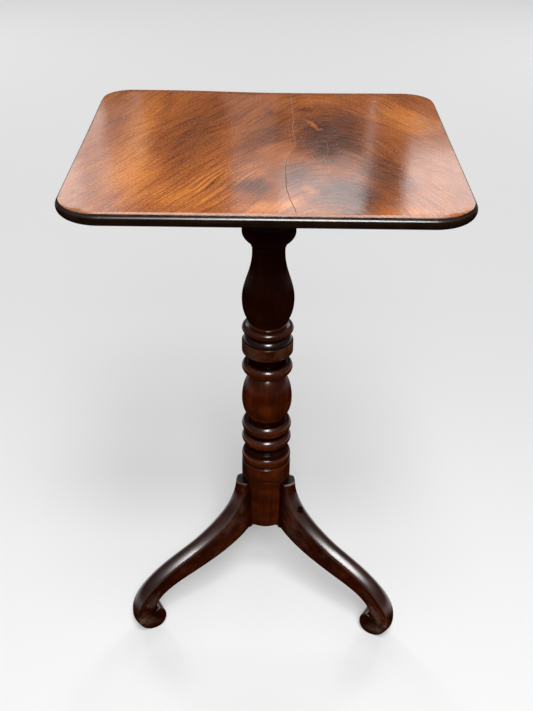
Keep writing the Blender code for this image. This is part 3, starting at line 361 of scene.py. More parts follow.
def crowned(share):
    """How far a crowned edge has fallen away, from none at its ridge to all at its sides."""
    at_rise = CROWN_EVEN * CROWN_RISE / 2
    whole = at_rise + (CROWN_EVEN + CROWN_STEEP) / 2 * (1 - CROWN_RISE)
    if share < CROWN_RISE:
        return CROWN_EVEN * share * share / (2 * CROWN_RISE) / whole
    past = share - CROWN_RISE
    gain = (CROWN_STEEP - CROWN_EVEN) * past * past / (2 * (1 - CROWN_RISE))
    return (at_rise + CROWN_EVEN * past + gain) / whole


def rounded_plan(width, depth, front, back, inset, corner_steps=18, edge_steps=26):
    """Plan of the top with its front and back corner radii, drawn in from its outermost edge by an inset."""
    corners = []
    quarters = ((1, 1, back), (-1, 1, back), (-1, -1, front), (1, -1, front))
    for number, (sign_x, sign_y, radius) in enumerate(quarters):
        corner = []
        for step in range(corner_steps + 1):
            angle = math.pi / 2 * (number + step / corner_steps)
            corner.append(Vector((sign_x * (width / 2 - radius) + (radius - inset) * math.cos(angle),
                                  sign_y * (depth / 2 - radius) + (radius - inset) * math.sin(angle))))
        corners.append(corner)
    points = []
    for corner, after in zip(corners, corners[1:] + corners[:1]):
        points += corner + [corner[-1].lerp(after[0], step / edge_steps) for step in range(1, edge_steps)]
    return points


def edge_levels(thickness):
    """Moulded edge of the top as pairs of inset and level, from the underside up."""
    levels = []
    for step in range(11):
        angle = math.pi / 2 * step / 10
        levels.append((6.5 * MM * (1 - math.sin(angle)), 7.5 * MM * (1 - math.cos(angle))))
    for step in range(1, 11):
        angle = math.pi / 2 * step / 10
        levels.append((2.9 * MM * (1 - math.cos(angle)), 7.5 * MM + (thickness - 9.5 * MM) * math.sin(angle)))
    levels += [(3.05 * MM, thickness - 1.85 * MM)]
    levels += [(3.05 * MM, thickness - 0.50 * MM), (3.12 * MM, thickness - 0.22 * MM)]
    levels += [(3.28 * MM, thickness - 0.07 * MM), (3.55 * MM, thickness)]
    return levels


# Meshes

def mesh_of(name, bm):
    bmesh.ops.remove_doubles(bm, verts=bm.verts, dist=1e-7)
    bmesh.ops.recalc_face_normals(bm, faces=bm.faces)
    mesh = bpy.data.meshes.new(name)
    bm.to_mesh(mesh)
    bm.free()
    return mesh


def smoothed(mesh, angle=32):
    mesh.shade_smooth()
    mesh.set_sharp_from_angle(angle=math.radians(angle))
    return mesh


def lathe(name, profile, sides, place=Matrix()):
    """A profile of radius and level turned about the vertical, then put in place."""
    bm = bmesh.new()
    rings = []
    for radius, level in profile:
        if radius < 1e-7:
            rings.append([bm.verts.new(place @ Vector((0, 0, level)))])
            continue
        ring = []
        for side in range(sides):
            angle = 2 * math.pi * side / sides
            spot = Vector((radius * math.cos(angle), radius * math.sin(angle), level))
            ring.append(bm.verts.new(place @ spot))
        rings.append(ring)
    for upper, lower in zip(rings, rings[1:]):
        for side in range(sides):
            after = (side + 1) % sides
            corners = [upper[side % len(upper)], lower[side % len(lower)],
                       lower[after % len(lower)], upper[after % len(upper)]]
            unique = list(dict.fromkeys(corners))
            if len(unique) > 2:
                bm.faces.new(unique)
    return mesh_of(name, bm)


def drill(name, radius, low, high, sides, place):
    """A round tool for a hole, from one level to another on its own axis."""
    return lathe(name, [(0, high), (radius, high), (radius, low), (0, low)], sides, place)


def rectangle(left, right, low, high):
    return [(left, low), (right, low), (right, high), (left, high)]


def plank(name, outline, half, arris, crown=None, place=Matrix()):
    """A closed outline sawn from a plank in its local X and Z, with arrises rounded and its edge crowned.

    A crown given as a pair pulls the edge along that pair instead."""
    count = len(outline)
    points = [Vector(point) for point in outline]
    area = sum(a.x * b.y - b.x * a.y for a, b in zip(points, points[1:] + points[:1]))
    turn = 1 if area > 0 else -1
    bm = bmesh.new()
    strips = []
    for number, here in enumerate(points):
        back = (here - points[number - 1]).normalized()
        ahead = (points[(number + 1) % count] - here).normalized()
        inward = Vector((-(back + ahead).y, (back + ahead).x)).normalized() * turn
        inward /= max(0.4, abs(inward.dot(Vector((-ahead.y, ahead.x)))))
        radius = arris[number] if isinstance(arris, list) else arris
        bulge = crown[number] if crown else 0.0
        pull = Vector((0.0, 0.0))
        if isinstance(bulge, tuple):
            pull = Vector(bulge)
            bulge = 0.0
        flat = half - radius
        lean = math.atan2(CROWN_SIDE_SLOPE * bulge, flat)
        big = radius / (1 - math.sin(lean))
        side = [(bulge * crowned(step / 8), flat * step / 8) for step in range(9)]
        for step in range(1, 8):
            angle = lean + (math.pi / 2 - lean) * step / 7
            side.append((bulge + big * (math.cos(lean) - math.cos(angle)),
                         flat + big * (math.sin(angle) - math.sin(lean))))
        whole = [(depth, -across) for depth, across in reversed(side[1:])] + side
        strip = []
        for depth, across in whole:
            spot = here + inward * depth + pull * crowned(min(1.0, abs(across) / flat))
            strip.append(bm.verts.new(place @ Vector((spot.x, across, spot.y))))
        strips.append(strip)
    for number, strip in enumerate(strips):
        after = strips[(number + 1) % count]
        for step in range(len(strip) - 1):
            bm.faces.new((strip[step], strip[step + 1], after[step + 1], after[step]))
    bm.faces.new([strip[0] for strip in strips])
    bm.faces.new([strip[-1] for strip in reversed(strips)])
    return mesh_of(name, bm)


def joined(name, meshes):
    bm = bmesh.new()
    for mesh in meshes:
        bm.from_mesh(mesh)
        bpy.data.meshes.remove(mesh)
    mesh = bpy.data.meshes.new(name)
    bm.to_mesh(mesh)
    bm.free()
    return mesh


def carve(mesh, tool, operation="DIFFERENCE"):
    """The mesh after a cut or a join with another one, which is used up."""
    scene = bpy.context.scene.collection
    body = bpy.data.objects.new("carve_body", mesh)
    cutter = bpy.data.objects.new("carve_tool", tool)
    scene.objects.link(body)
    scene.objects.link(cutter)
    modifier = body.modifiers.new("carve", "BOOLEAN")
    modifier.operation = operation
    modifier.solver = "EXACT"
    modifier.object = cutter
    bpy.context.view_layer.update()
    graph = bpy.context.evaluated_depsgraph_get()
    result = bpy.data.meshes.new_from_object(body.evaluated_get(graph))
    bpy.data.objects.remove(body)
    bpy.data.objects.remove(cutter)
    bpy.data.meshes.remove(mesh)
    bpy.data.meshes.remove(tool)
    return result


def write_attribute(mesh, name, values):
    attribute = mesh.attributes.new(name, "FLOAT", "POINT")
    attribute.data.foreach_set("value", values)


def write_polish(mesh, full, low=0.20, high=0.46, dulled=None):
    """Thickness of the polish: full on faces that look up, gone on those that look down or are dulled."""
    values = [full * smooth(low, high, normal.vector.z) for normal in mesh.vertex_normals]
    if dulled:
        values = [value * (1 - share) for value, share in zip(values, dulled)]
    write_attribute(mesh, "polish", values)


def write_grain(mesh, along, across, origin=(0, 0, 0)):
    """Place of each point in the plank it was cut from: along the grain, across it and through it."""
    along = Vector(along).normalized()
    across = Vector(across).normalized()
    through = along.cross(across)
    attribute = mesh.attributes.new("grain", "FLOAT_VECTOR", "POINT")
    for item, vertex in zip(attribute.data, mesh.vertices):
        spot = vertex.co - Vector(origin)
        item.vector = (spot.dot(along), spot.dot(across), spot.dot(through))


def add_piece(name, mesh, material, body, replaced):
    """A finished piece: its material, the body it rides on and the solids it stands for."""
    item = bpy.data.objects.new(name, mesh)
    bpy.context.scene.collection.objects.link(item)
    mesh.materials.clear()
    mesh.materials.append(material)
    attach(item, body)
    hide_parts(*replaced)
    return item


# Shader nodes

def put(tree, kind, inputs=None, **settings):
    """A node with its settings; an input is a value or a socket to link from."""
    node = tree.nodes.new(kind)
    for name, value in settings.items():
        setattr(node, name, value)
    for name, value in (inputs or {}).items():
        socket = node.inputs[name]
        if isinstance(value, bpy.types.NodeSocket):
            tree.links.new(value, socket)
        else:
            socket.default_value = value
    return node


def calc(tree, operation, first, second=0.0, clamp=False):
    return put(tree, "ShaderNodeMath", {0: first, 1: second}, operation=operation, use_clamp=clamp).outputs[0]


def vector_calc(tree, operation, first, second):
    """Maths on vectors; a scale takes a number as its second value."""
    key = "Scale" if operation == "SCALE" else 1
    return put(tree, "ShaderNodeVectorMath", {0: first, key: second}, operation=operation).outputs[0]


def blend(tree, share, first, second):
    return put(tree, "ShaderNodeMix", {0: share, 2: first, 3: second}, data_type="FLOAT").outputs[0]


def add_share(tree, total, part, weight, clamp=False):
    """A total with one more part added at its weight."""
    return calc(tree, "ADD", total, calc(tree, "MULTIPLY", part, weight), clamp)


def noise(tree, vector, scale, detail=3.0, rough=0.55, output="Fac"):
    inputs = {"Vector": vector, "Scale": scale, "Detail": detail, "Roughness": rough}
    return put(tree, "ShaderNodeTexNoise", inputs).outputs[output]


def stretch(tree, vector, scale, location=(0, 0, 0), turn=(0, 0, 0)):
    inputs = {"Vector": vector, "Scale": scale, "Location": location, "Rotation": turn}
    return put(tree, "ShaderNodeMapping", inputs).outputs["Vector"]


def remap(tree, value, low, high, to_low=0.0, to_high=1.0):
    inputs = {"Value": value, "From Min": low, "From Max": high, "To Min": to_low, "To Max": to_high}
    return put(tree, "ShaderNodeMapRange", inputs, interpolation_type="SMOOTHSTEP").outputs["Result"]


def streaks(tree, place, scale, shift, detail, rough, low, high):
    """Noise drawn out by a scale, with its contrast raised between two limits."""
    drawn = noise(tree, stretch(tree, place, scale, shift), 1.0, detail, rough)
    return remap(tree, drawn, low, high)


def mix(tree, share, first, second):
    """One colour laid over another by its share."""
    node = put(tree, "ShaderNodeMix", None, data_type="RGBA", clamp_factor=True)
    for index, value in ((0, share), (6, first), (7, second)):
        if isinstance(value, bpy.types.NodeSocket):
            tree.links.new(value, node.inputs[index])
        elif index == 0:
            node.inputs[index].default_value = value
        else:
            node.inputs[index].default_value = (*value, 1.0)
    return node.outputs[2]


def attribute(tree, name, output="Fac"):
    return put(tree, "ShaderNodeAttribute", None, attribute_name=name).outputs[output]


def object_place(tree):
    return put(tree, "ShaderNodeTexCoord").outputs["Object"]


def new_group(name, inputs, outputs):
    """An empty shader group with its sockets."""
    tree = bpy.data.node_groups.new(name, "ShaderNodeTree")
    for label, kind, default in inputs:
        socket = tree.interface.new_socket(label, in_out="INPUT", socket_type=kind)
        if default is not None:
            socket.default_value = default
    for label, kind in outputs:
        tree.interface.new_socket(label, in_out="OUTPUT", socket_type=kind)
    return tree, tree.nodes.new("NodeGroupInput").outputs, tree.nodes.new("NodeGroupOutput").inputs


def wood_group():
    """Streaks, bands, cross figure and pores of wood, from a place along and across its grain."""
    if "wood figure" in bpy.data.node_groups:
        return bpy.data.node_groups["wood figure"]
    value = "NodeSocketFloat"
    tree, given, gives = new_group("wood figure", [
        ("Grain", "NodeSocketVector", None), ("Fineness", value, 1.0), ("Banding", value, 0.5),
        ("Figure", value, 0.3)],
        [("Tone", value), ("Pores", value), ("Height", value)])
    wander = noise(tree, given["Grain"], 7.0, 2.0, 0.5, "Color")
    shift = vector_calc(tree, "SUBTRACT", wander, (0.5, 0.5, 0.5))
    small = vector_calc(tree, "SCALE", shift, 0.012)
    bent = vector_calc(tree, "ADD", given["Grain"], small)
    fine = vector_calc(tree, "SCALE", bent, given["Fineness"])
    streak = noise(tree, stretch(tree, fine, (11, 230, 230)), 1.0, 5.0, 0.62)
    band = noise(tree, stretch(tree, fine, (3, 34, 34), (0.3, 0.7, 0.1)), 1.0, 3.0, 0.5)
    cross = noise(tree, stretch(tree, fine, (60, 16, 16), (0.9, 0.2, 0.4)), 1.0, 2.0, 0.5)
    pore = noise(tree, stretch(tree, fine, (70, 1500, 1500)), 1.0, 2.0, 0.5)
    pores = remap(tree, pore, 0.57, 0.70)
    first = blend(tree, given["Banding"], streak, band)
    second = blend(tree, given["Figure"], first, cross)
    tree.links.new(remap(tree, second, 0.30, 0.70), gives["Tone"])
    tree.links.new(pores, gives["Pores"])
    tree.links.new(calc(tree, "SUBTRACT", calc(tree, "MULTIPLY", streak, 0.5), pores), gives["Height"])
    return tree


def wear_group():
    """Places rubbed pale, partly a painted highlight, and darkened places, mostly painted shade, broken up so
    that they look handled.
    """
    if "handling" in bpy.data.node_groups:
        return bpy.data.node_groups["handling"]
    value = "NodeSocketFloat"
    tree, given, gives = new_group("handling", [
        ("Place", "NodeSocketVector", None), ("Wear and highlight", value, 0.0), ("Grime and shade", value, 0.0)],
        [("Rubbed and highlight", value), ("Grimy and shaded", value), ("Mottle", value), ("Ripple", value), ("Scuffs", value)])
    broad = noise(tree, given["Place"], 38.0, 4.0, 0.6)
    speck = noise(tree, given["Place"], 420.0, 3.0, 0.6)
    rubbed = calc(tree, "MULTIPLY", given["Wear and highlight"], remap(tree, broad, 0.36, 0.62))
    rubbed = calc(tree, "MULTIPLY", rubbed, remap(tree, speck, 0.30, 0.62, 0.35, 1.0))
    grimy_and_shaded = calc(tree, "MULTIPLY", given["Grime and shade"], remap(tree, broad, 0.25, 0.55, 0.7, 1.0))
    ripple = noise(tree, given["Place"], 26.0, 2.0, 0.45)
    lines = stretch(tree, given["Place"], (900, 190, 420), turn=(0.5, 0.3, 0.9))
    scuffs = remap(tree, noise(tree, lines, 1.0, 2.0, 0.5), 0.66, 0.76)
    scuffs = calc(tree, "MULTIPLY", scuffs, remap(tree, broad, 0.45, 0.65))
    results = {"Rubbed and highlight": rubbed, "Grimy and shaded": grimy_and_shaded, "Mottle": broad, "Ripple": ripple, "Scuffs": scuffs}
    for label, result in results.items():
        tree.links.new(result, gives[label])
    return tree


def patch_group():
    """One soft patch on the top: full in its middle and gone at its rim."""
    if "soft patch" in bpy.data.node_groups:
        return bpy.data.node_groups["soft patch"]
    vector = "NodeSocketVector"
    tree, given, gives = new_group("soft patch", [
        ("Place", vector, None), ("Middle", vector, None), ("Spread", vector, None), ("Turn", vector, None)],
        [("Mask", "NodeSocketFloat")])
    moved = vector_calc(tree, "SUBTRACT", given["Place"], given["Middle"])
    turned = put(tree, "ShaderNodeVectorRotate", {"Vector": moved, "Rotation": given["Turn"]},
                 rotation_type="EULER_XYZ").outputs[0]
    shaped = vector_calc(tree, "DIVIDE", turned, given["Spread"])
    far = put(tree, "ShaderNodeVectorMath", {0: shaped}, operation="LENGTH").outputs["Value"]
    tree.links.new(remap(tree, far, 1.0, 0.15), gives["Mask"])
    return tree


def use_group(tree, group, inputs):
    return put(tree, "ShaderNodeGroup", inputs, node_tree=group).outputs


def handled(tree, place):
    """Handling of a piece, from the pale rubbing and the painted shade written on its points."""
    marks = {"Place": place, "Wear and highlight": attribute(tree, "wear_and_highlight"), "Grime and shade": attribute(tree, "grime_and_shade")}
    return use_group(tree, wear_group(), marks)


def bumped(tree, shader, height):
    """Gives a shader the normals of a height in metres."""
    bump = put(tree, "ShaderNodeBump", {"Height": height, "Strength": 1.0, "Distance": 1.0})
    tree.links.new(bump.outputs["Normal"], shader.inputs["Normal"])


def new_material(name):
    material = bpy.data.materials.new(name)
    material.use_nodes = True
    tree = material.node_tree
    return material, tree, tree.nodes["Principled BSDF"]


def three_tones(tree, tone, dark, middle, light):
    ramp = put(tree, "ShaderNodeValToRGB", {"Fac": tone})
    stops = ramp.color_ramp.elements
    stops[0].color = (*dark, 1)
    stops[1].color = (*light, 1)
    stops.new(0.52).color = (*middle, 1)
    return ramp.outputs["Color"]


def polished_wood(name, tones, finish, banding, figure, pores, roughness, scuffed):
    """Old polished wood on its grain attribute, with rubbed arrises that are partly a painted highlight, and
    painted shade in the corners.
    """
    if name in bpy.data.materials:
        return bpy.data.materials[name]
    material, tree, shader = new_material(name)
    grain = attribute(tree, "grain", "Vector")
    wood = use_group(tree, wood_group(), {"Grain": grain, "Banding": banding, "Figure": figure})
    hand = handled(tree, object_place(tree))
    tone = calc(tree, "ADD", wood["Tone"], remap(tree, hand["Mottle"], 0.3, 0.7, -0.12, 0.12), True)
    base = three_tones(tree, tone, *tones)
    pored = mix(tree, calc(tree, "MULTIPLY", wood["Pores"], pores), base, tones[0])
    scuffs = mix(tree, calc(tree, "MULTIPLY", hand["Scuffs"], scuffed), pored, finish.worn_and_highlight)
    rubbed = mix(tree, hand["Rubbed and highlight"], scuffs, finish.worn_and_highlight)
    grimy_and_shaded = mix(tree, hand["Grimy and shaded"], rubbed, finish.grime_and_shade)
    tree.links.new(grimy_and_shaded, shader.inputs["Base Color"])
    shader.inputs["Specular IOR Level"].default_value = 0.0
    shader.inputs["Coat Roughness"].default_value = roughness
    shader.inputs["Coat IOR"].default_value = 1.75
    tree.links.new(attribute(tree, "polish"), shader.inputs["Coat Weight"])
    dulled = add_share(tree, hand["Rubbed and highlight"], hand["Grimy and shaded"], 0.6)
    rough = remap(tree, hand["Mottle"], 0.3, 0.7, roughness - 0.04, roughness + 0.06)
    tree.links.new(add_share(tree, rough, dulled, 0.25), shader.inputs["Roughness"])
    height = add_share(tree, calc(tree, "MULTIPLY", wood["Height"], 0.004 * MM), hand["Ripple"], 0.12 * MM)
    bumped(tree, shader, height)
    return material


def plain_wood(finish):
    """Unpolished wood with plane and saw marks."""
    if "plain_wood_look" in bpy.data.materials:
        return bpy.data.materials["plain_wood_look"]
    material, tree, shader = new_material("plain_wood_look")
    grain = attribute(tree, "grain", "Vector")
    wood = use_group(tree, wood_group(), {"Grain": grain, "Fineness": 0.8, "Banding": 0.45, "Figure": 0.1})
    hand = handled(tree, object_place(tree))
    base = three_tones(tree, wood["Tone"], finish.plain_dark, finish.plain_middle, finish.plain_light)
    pored = mix(tree, calc(tree, "MULTIPLY", wood["Pores"], 0.75), base, finish.plain_dark)
    dusty = mix(tree, remap(tree, hand["Mottle"], 0.35, 0.75, 0.0, 0.45), pored, finish.plain_dark)
    # The darkened points take the dark colour that paints shade.
    grimy_and_shaded = mix(tree, hand["Grimy and shaded"], dusty, finish.grime_and_shade)
    tree.links.new(grimy_and_shaded, shader.inputs["Base Color"])
    tree.links.new(remap(tree, hand["Mottle"], 0.3, 0.7, 0.52, 0.74), shader.inputs["Roughness"])
    marks = noise(tree, stretch(tree, grain, (85, 5, 5)), 1.0, 2.0, 0.4)
    height = add_share(tree, calc(tree, "MULTIPLY", wood["Height"], 0.10 * MM), marks, 0.35 * MM)
    bumped(tree, shader, height)
    return material


# Patches of the figured top: place, spread, turn and weight
DARK_PATCHES = (
    ((0.078, 0.030), (0.072, 0.155), 0.05, 0.80),
    ((0.086, 0.021), (0.026, 0.036), 0.00, 1.00),
    ((-0.014, -0.128), (0.036, 0.034), 0.50, 0.62),
    ((0.086, -0.145), (0.056, 0.078), 0.00, 0.88),
    ((0.004, 0.118), (0.020, 0.022), 0.40, 0.50),
    ((0.048, 0.132), (0.024, 0.018), 0.50, 0.62),
    ((0.128, -0.085), (0.045, 0.120), 0.12, 0.55),
    ((0.088, -0.194), (0.026, 0.014), 0.00, 0.70),
    ((0.035, -0.095), (0.044, 0.070), 0.00, 0.60),
    ((-0.080, 0.060), (0.055, 0.150), -0.30, 0.36),
    ((0.000, 0.030), (0.045, 0.150), -0.20, 0.42),
)
GLOW_PATCHES = (
    ((0.178, 0.095), (0.050, 0.085), 0.30, 0.95),
    ((-0.150, -0.090), (0.045, 0.140), 0.05, 0.95),
    ((-0.155, 0.090), (0.030, 0.150), 0.02, 0.65),
    ((-0.100, -0.160), (0.080, 0.050), 0.00, 0.55),
    ((0.004, -0.182), (0.050, 0.022), 0.25, 0.95),
    ((0.065, 0.172), (0.050, 0.034), 0.00, 0.50),
    ((0.150, -0.190), (0.060, 0.020), 0.00, 0.50),
)
FLAME_PATCHES = (
    ((0.056, 0.073), (0.0055, 0.030), 0.46, 1.00),
    ((0.046, -0.135), (0.010, 0.026), 0.10, 0.50),
    ((0.008, -0.018), (0.026, 0.048), -0.50, 0.55),
    ((0.000, -0.186), (0.050, 0.018), 0.20, 0.40),
    ((-0.010, 0.060), (0.018, 0.045), -0.50, 0.30),
)
LINED_PATCH = (((-0.052, -0.105), (0.075, 0.125), -0.40, 1.00),)
HEART_PLACE = 0.070
HEART_COLOUR = (0.028, 0.011, 0.008)
CRACK_COLOUR = (0.020, 0.011, 0.007)
# Pale colour on one lip of each crack: a painted highlight.
CRACK_LIP_HIGHLIGHT = (0.60, 0.46, 0.34)
SCRATCH_COLOUR = (0.62, 0.42, 0.28)


def patches(tree, place, listed):
    total = None
    for (x, y), (wide, deep), turn, weight in listed:
        inputs = {"Place": place, "Middle": (x, y, 0.0), "Spread": (wide, deep, 1.0),
                  "Turn": (0.0, 0.0, -turn)}
        mask = use_group(tree, patch_group(), inputs)["Mask"]
        weighed = calc(tree, "MULTIPLY", mask, weight)
        total = weighed if total is None else calc(tree, "MAXIMUM", total, weighed)
    return total


def figured_top(finish):
    """Polished mahogany cut from a fork of the tree: streaks that arch over a dark heart."""
    material, tree, shader = new_material("figured_mahogany")
    place = object_place(tree)
    split = put(tree, "ShaderNodeSeparateXYZ", {"Vector": place}).outputs
    wander = noise(tree, place, 7.0, 1.0, 0.4)
    sway = calc(tree, "MULTIPLY", calc(tree, "SUBTRACT", wander, 0.5), 0.055)
    aside = calc(tree, "SUBTRACT", calc(tree, "ADD", split["X"], sway), HEART_PLACE)
    spread = calc(tree, "SQRT", calc(tree, "ADD", calc(tree, "MULTIPLY", aside, aside), 0.0020))
    arch = add_share(tree, split["Y"], spread, 1.75)
    arch = add_share(tree, arch, sway, 0.35)
    field = put(tree, "ShaderNodeCombineXYZ", {"X": split["X"], "Y": arch, "Z": 0.0}).outputs["Vector"]
    flat = put(tree, "ShaderNodeCombineXYZ", {"X": split["X"], "Y": split["Y"], "Z": 0.0}).outputs["Vector"]
    ragged = vector_calc(tree, "SUBTRACT", noise(tree, field, 30.0, 3.0, 0.6, "Color"), (0.5, 0.5, 0.5))
    torn = vector_calc(tree, "ADD", flat, vector_calc(tree, "SCALE", ragged, 0.034))
    torn = vector_calc(tree, "MULTIPLY", torn, (1, 1, 0))
    dark = patches(tree, torn, DARK_PATCHES)
    glow = patches(tree, torn, GLOW_PATCHES)
    flame = patches(tree, torn, FLAME_PATCHES)
    lined = patches(tree, flat, LINED_PATCH)

    streak = streaks(tree, field, (24, 300, 1), (0, 0, 0), 3.0, 0.65, 0.36, 0.64)
    thread = streaks(tree, field, (30, 230, 1), (0.4, 0.2, 0), 2.0, 0.5, 0.55, 0.63)
    bright = streaks(tree, field, (20, 230, 1), (0.7, 0.9, 0), 1.0, 0.5, 0.53, 0.60)
    band = streaks(tree, field, (7, 44, 1), (0.1, 0.6, 0), 2.0, 0.5, 0.28, 0.72)
    shimmer = streaks(tree, flat, (15, 8, 1), (0, 0, 0), 3.0, 0.55, 0.3, 0.7)
    pores = streaks(tree, field, (110, 480, 1), (0, 0, 0), 2.0, 0.6, 0.54, 0.66)
    peel = noise(tree, stretch(tree, flat, (430, 300, 1)), 1.0, 2.0, 0.6)
    scratch = noise(tree, stretch(tree, flat, (60, 520, 1), turn=(0, 0, 0.45)), 1.0, 2.0, 0.6)
    scratch = calc(tree, "MULTIPLY", remap(tree, scratch, 0.62, 0.70), remap(tree, peel, 0.42, 0.60))
    lines = calc(tree, "MULTIPLY", lined, bright)
    tone = add_share(tree, 0.24, streak, 0.24)
    tone = calc(tree, "ADD", tone, remap(tree, peel, 0.30, 0.70, -0.17, 0.17))
    for part, weight in ((band, 0.10), (shimmer, 0.15), (glow, 0.42), (lines, 0.34), (thread, -0.26)):
        tone = add_share(tree, tone, part, weight)
    tone = add_share(tree, tone, dark, -0.40, True)
    base = three_tones(tree, tone, finish.top_dark, finish.top_middle, finish.top_light)
    shaded = calc(tree, "MULTIPLY", dark, remap(tree, streak, 0.0, 1.0, 0.92, 0.50))
    heart = mix(tree, shaded, base, HEART_COLOUR)
    pored = mix(tree, calc(tree, "MULTIPLY", pores, 0.42), heart, finish.top_dark)
    lit = calc(tree, "MULTIPLY", flame, remap(tree, streak, 0.0, 1.0, 0.45, 1.0))
    flamed = mix(tree, lit, pored, finish.flame)
    crack = attribute(tree, "crack")
    cracked = mix(tree, crack, flamed, CRACK_COLOUR)
    lip_highlight = mix(tree, calc(tree, "MULTIPLY", attribute(tree, "crack_lip"), 0.90), cracked, CRACK_LIP_HIGHLIGHT)

    hand = handled(tree, place)
    # Painted shade: the dark edge colour on the top's arris; the pale rubbing laid over it is partly a
    # painted highlight.
    edge_shaded = mix(tree, attribute(tree, "edge"), lip_highlight, finish.edge)
    rubbed = mix(tree, hand["Rubbed and highlight"], edge_shaded, finish.worn_and_highlight)
    scuffs = mix(tree, calc(tree, "MULTIPLY", scratch, 0.32), rubbed, SCRATCH_COLOUR)
    tree.links.new(scuffs, shader.inputs["Base Color"])
    rough = remap(tree, hand["Mottle"], 0.3, 0.7, 0.09, 0.14)
    rough = add_share(tree, rough, scratch, 0.20)
    rough = add_share(tree, rough, crack, 0.5)
    tree.links.new(rough, shader.inputs["Roughness"])
    swell = noise(tree, stretch(tree, flat, (9, 5, 1)), 1.0, 2.0, 0.45)
    height = calc(tree, "MULTIPLY", swell, 0.42 * MM)
    for part, weight in ((hand["Ripple"], 0.05), (peel, 0.026), (pores, -0.006)):
        height = add_share(tree, height, part, weight * MM)
    bumped(tree, shader, height)
    return material


def old_metal(name, clean, stained, metallic, roughness, stain_low, stain_high, dents):
    """Old metal: bright where it is rubbed, stained elsewhere, with small dents."""
    if name in bpy.data.materials:
        return bpy.data.materials[name]
    material, tree, shader = new_material(name)
    place = object_place(tree)
    hand = use_group(tree, wear_group(), {"Place": place, "Wear and highlight": 1.0, "Grime and shade": 0.0})
    bloom = noise(tree, place, 260.0, 4.0, 0.6)
    stain = add_share(tree, calc(tree, "MULTIPLY", bloom, 0.6), hand["Mottle"], 0.4)
    stain = remap(tree, stain, stain_low, stain_high)
    tree.links.new(mix(tree, stain, clean, stained), shader.inputs["Base Color"])
    tree.links.new(remap(tree, stain, 0.0, 1.0, roughness, roughness + 0.25), shader.inputs["Roughness"])
    tree.links.new(remap(tree, stain, 0.0, 1.0, metallic, 0.55 * metallic), shader.inputs["Metallic"])
    hammer = noise(tree, place, 150.0, 2.0, 0.4)
    height = add_share(tree, calc(tree, "MULTIPLY", hammer, dents), bloom, 0.15 * dents)
    bumped(tree, shader, height)
    return material


def column_wood(finish):
    tones = (finish.column_dark, finish.column_middle, finish.column_light)
    return polished_wood("turned_mahogany", tones, finish, banding=0.62, figure=0.30, pores=0.42,
                         roughness=0.22, scuffed=0.05)


def leg_wood(finish):
    tones = (finish.leg_dark, finish.leg_middle, finish.leg_light)
    return polished_wood("leg_mahogany_look", tones, finish, banding=0.45, figure=0.25, pores=0.60,
                         roughness=0.28, scuffed=0.06)


# A darker copy of the wood for the moulded edge: painted shade.
def shaded_edge_wood(finish):
    tones = (finish.edge_dark, finish.edge, finish.edge_light)
    return polished_wood("edge_mahogany", tones, finish, banding=0.4, figure=0.1, pores=0.5,
                         roughness=0.26, scuffed=0.06)


def iron(finish):
    return old_metal("wrought_iron", finish.iron, finish.rust, metallic=0.85, roughness=0.46,
                     stain_low=0.50, stain_high=0.66, dents=0.35 * MM)


def steel(finish):
    return old_metal("filed_steel", finish.steel, finish.rust, metallic=1.0, roughness=0.34,
                     stain_low=0.54, stain_high=0.72, dents=0.06 * MM)


def brass(finish):
    return old_metal("aged_brass", finish.brass, finish.tarnish, metallic=1.0, roughness=0.28,
                     stain_low=0.46, stain_high=0.66, dents=0.05 * MM)


# Pieces

# Middle line of each crack, from its back end to its front end
CRACK_PATHS = (
    ((0.0308, 0.1990), (0.0315, 0.1700), (0.0316, 0.1400), (0.0326, 0.1150), (0.0334, 0.0910),
     (0.0312, 0.0720), (0.0318, 0.0500), (0.0330, 0.0250), (0.0338, -0.0010), (0.0296, -0.0180),
     (0.0258, -0.0330), (0.0222, -0.0500), (0.0205, -0.0720), (0.0206, -0.0960), (0.0208, -0.1180),
     (0.0214, -0.1380), (0.0246, -0.1620), (0.0278, -0.1820), (0.0312, -0.2030)),
    ((0.0702, 0.0160), (0.0712, -0.0020), (0.0716, -0.0190), (0.0690, -0.0320), (0.0650, -0.0450),
     (0.0628, -0.0580), (0.0636, -0.0680)),
)


def crack_line(path, step=0.003):
    """Points along a crack, closer together than its bends and a little restless."""
    points = []
    for number, (a, b) in enumerate(zip(path, path[1:])):
        first, second = Vector(a), Vector(b)
        count = max(1, round((second - first).length / step))
        for part in range(count):
            spot = first.lerp(second, part / count)
            wobble = 0.00035 * math.sin(spot.y * 900 + number) + 0.0002 * math.sin(spot.y * 2300)
            points.append(Vector((spot.x + wobble, spot.y)))
    points.append(Vector(path[-1]))
    return points


